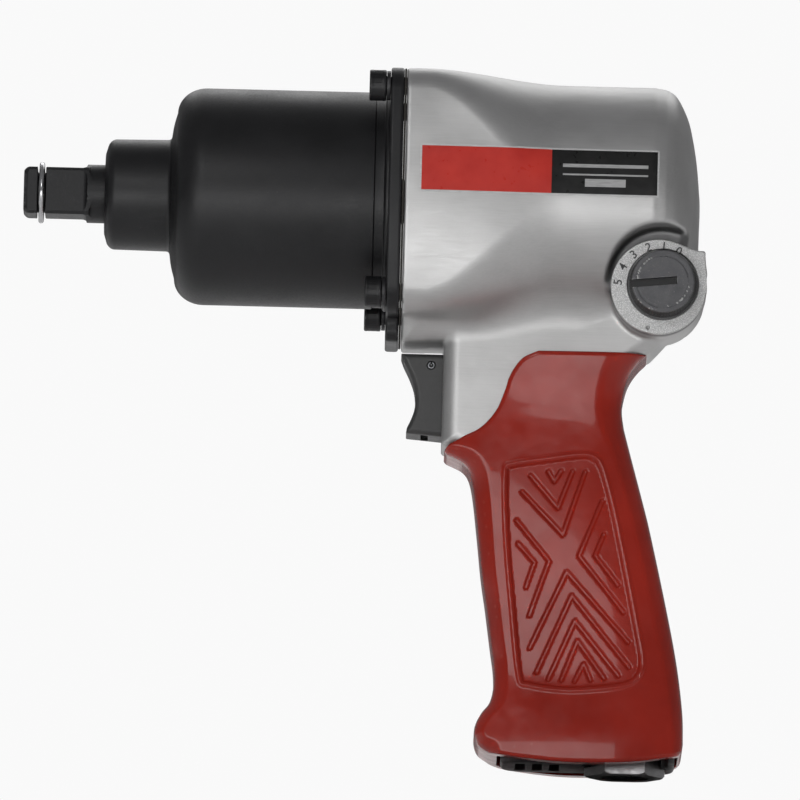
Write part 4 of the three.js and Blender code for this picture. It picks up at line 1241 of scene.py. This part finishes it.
floor_mesh = bpy.data.meshes.new("floor")
reach = 2.2
low_z = cad_box[0][2] - 0.0006
floor_mesh.from_pydata(
    [(-reach, -reach, low_z), (reach, -reach, low_z), (reach, reach, low_z), (-reach, reach, low_z)],
    [],
    [(0, 1, 2, 3)],
)
floor = bpy.data.objects.new("floor", floor_mesh)
bpy.context.scene.collection.objects.link(floor)
pale = Paint("floor", Roughness=0.75)
pale.colour(pale.ramp(pale.noise(180), (0.3, 0.86), (0.7, 0.9)))
behind = pale.node("ShaderNodeNewGeometry").outputs["Backfacing"]
clear = pale.node("ShaderNodeBsdfTransparent")
choose = pale.node("ShaderNodeMixShader")
pale.link(behind, choose.inputs[0])
pale.link(pale.shader.outputs[0], choose.inputs[1])
pale.link(clear.outputs[0], choose.inputs[2])
pale.link(choose.outputs[0], pale.tree.nodes["Material Output"].inputs["Surface"])
floor.data.materials.append(pale.material)

# The studio is bright overhead and dimmer towards its floor. Its backdrop is seen as plain white.
world = bpy.data.worlds.new("studio")
bpy.context.scene.world = world
world.use_nodes = True
tree = world.node_tree
sky = tree.nodes["Background"]
direction = tree.nodes.new("ShaderNodeTexCoord").outputs["Generated"]
height = tree.nodes.new("ShaderNodeSeparateXYZ")
tree.links.new(direction, height.inputs[0])
tone = tree.nodes.new("ShaderNodeValToRGB")
tone.color_ramp.elements[0].position = 0.0
tone.color_ramp.elements[0].color = (0.1, 0.1, 0.1, 1)
tone.color_ramp.elements[1].position = 0.9
tone.color_ramp.elements[1].color = (0.22, 0.22, 0.225, 1)
middle_tone = tone.color_ramp.elements.new(0.45)
middle_tone.color = (0.17, 0.17, 0.172, 1)
lift = tree.nodes.new("ShaderNodeMath")
lift.operation = "MULTIPLY_ADD"
lift.inputs[1].default_value = 0.5
lift.inputs[2].default_value = 0.5
tree.links.new(height.outputs["Z"], lift.inputs[0])
tree.links.new(lift.outputs[0], tone.inputs["Fac"])
tree.links.new(tone.outputs["Color"], sky.inputs["Color"])
backdrop = tree.nodes.new("ShaderNodeBackground")
backdrop.inputs["Color"].default_value = (0.95, 0.95, 0.95, 1)
rays = tree.nodes.new("ShaderNodeLightPath")
pick = tree.nodes.new("ShaderNodeMixShader")
tree.links.new(rays.outputs["Is Camera Ray"], pick.inputs[0])
tree.links.new(sky.outputs[0], pick.inputs[1])
tree.links.new(backdrop.outputs[0], pick.inputs[2])
tree.links.new(pick.outputs[0], tree.nodes["World Output"].inputs["Surface"])


def softbox(name, place, target, width, height, power):
    data = bpy.data.lights.new(name, "AREA")
    data.shape = "RECTANGLE"
    data.size, data.size_y, data.energy = width, height, power
    made = bpy.data.objects.new(name, data)
    made.location = place
    made.rotation_euler = (Vector(target) - Vector(place)).to_track_quat("-Z", "Y").to_euler()
    made.visible_camera = False
    bpy.context.scene.collection.objects.link(made)
    return made


middle = (0.1, 0.0, -0.03)
softbox("front", (-0.02, -0.55, -0.085), middle, 0.5, 0.13, 0.75)
softbox("key", (-0.1, -0.85, 0.34), middle, 0.1, 0.04, 0.7)
softbox("fill", (-0.3, -1.1, 0.75), middle, 0.5, 0.4, 0.65)
softbox("back", (0.2, 1.0, 0.9), middle, 1.2, 0.8, 5)
ceiling = softbox("ceiling", (0.1, 0.0, 2.0), middle, 2.0, 2.0, 10)
floor_only = bpy.data.collections.new("floor_only")
floor_only.objects.link(floor)
ceiling.light_linking.receiver_collection = floor_only

# The view is almost square to the drive axis, a little from below, with the picture turned
# so that the drive axis drops to the right by the roll.
ELEVATION = math.radians(-7)
ROLL = math.radians(1.44)
DISTANCE = 6.0
PIXEL = 0.27 * MM
FRAME_PIXELS = 800
SENSOR = 36.0
aim_place = (103.1, 0, -54.0)
camera_data = bpy.data.cameras.new("camera")
camera_data.sensor_width = SENSOR
camera_data.lens = SENSOR * DISTANCE / (PIXEL * FRAME_PIXELS)
camera = bpy.data.objects.new("camera", camera_data)
bpy.context.scene.collection.objects.link(camera)
aim = Vector(aim_place) * MM
back = Vector((0, -math.cos(ELEVATION), math.sin(ELEVATION)))
turn = (-back).to_track_quat("-Z", "Y").to_matrix().to_4x4()
camera.matrix_world = Matrix.Translation(aim + back * DISTANCE) @ turn @ Matrix.Rotation(ROLL, 4, "Z")
bpy.context.scene.camera = camera
bpy.context.scene.view_settings.view_transform = "Standard"

bpy.context.view_layer.update()
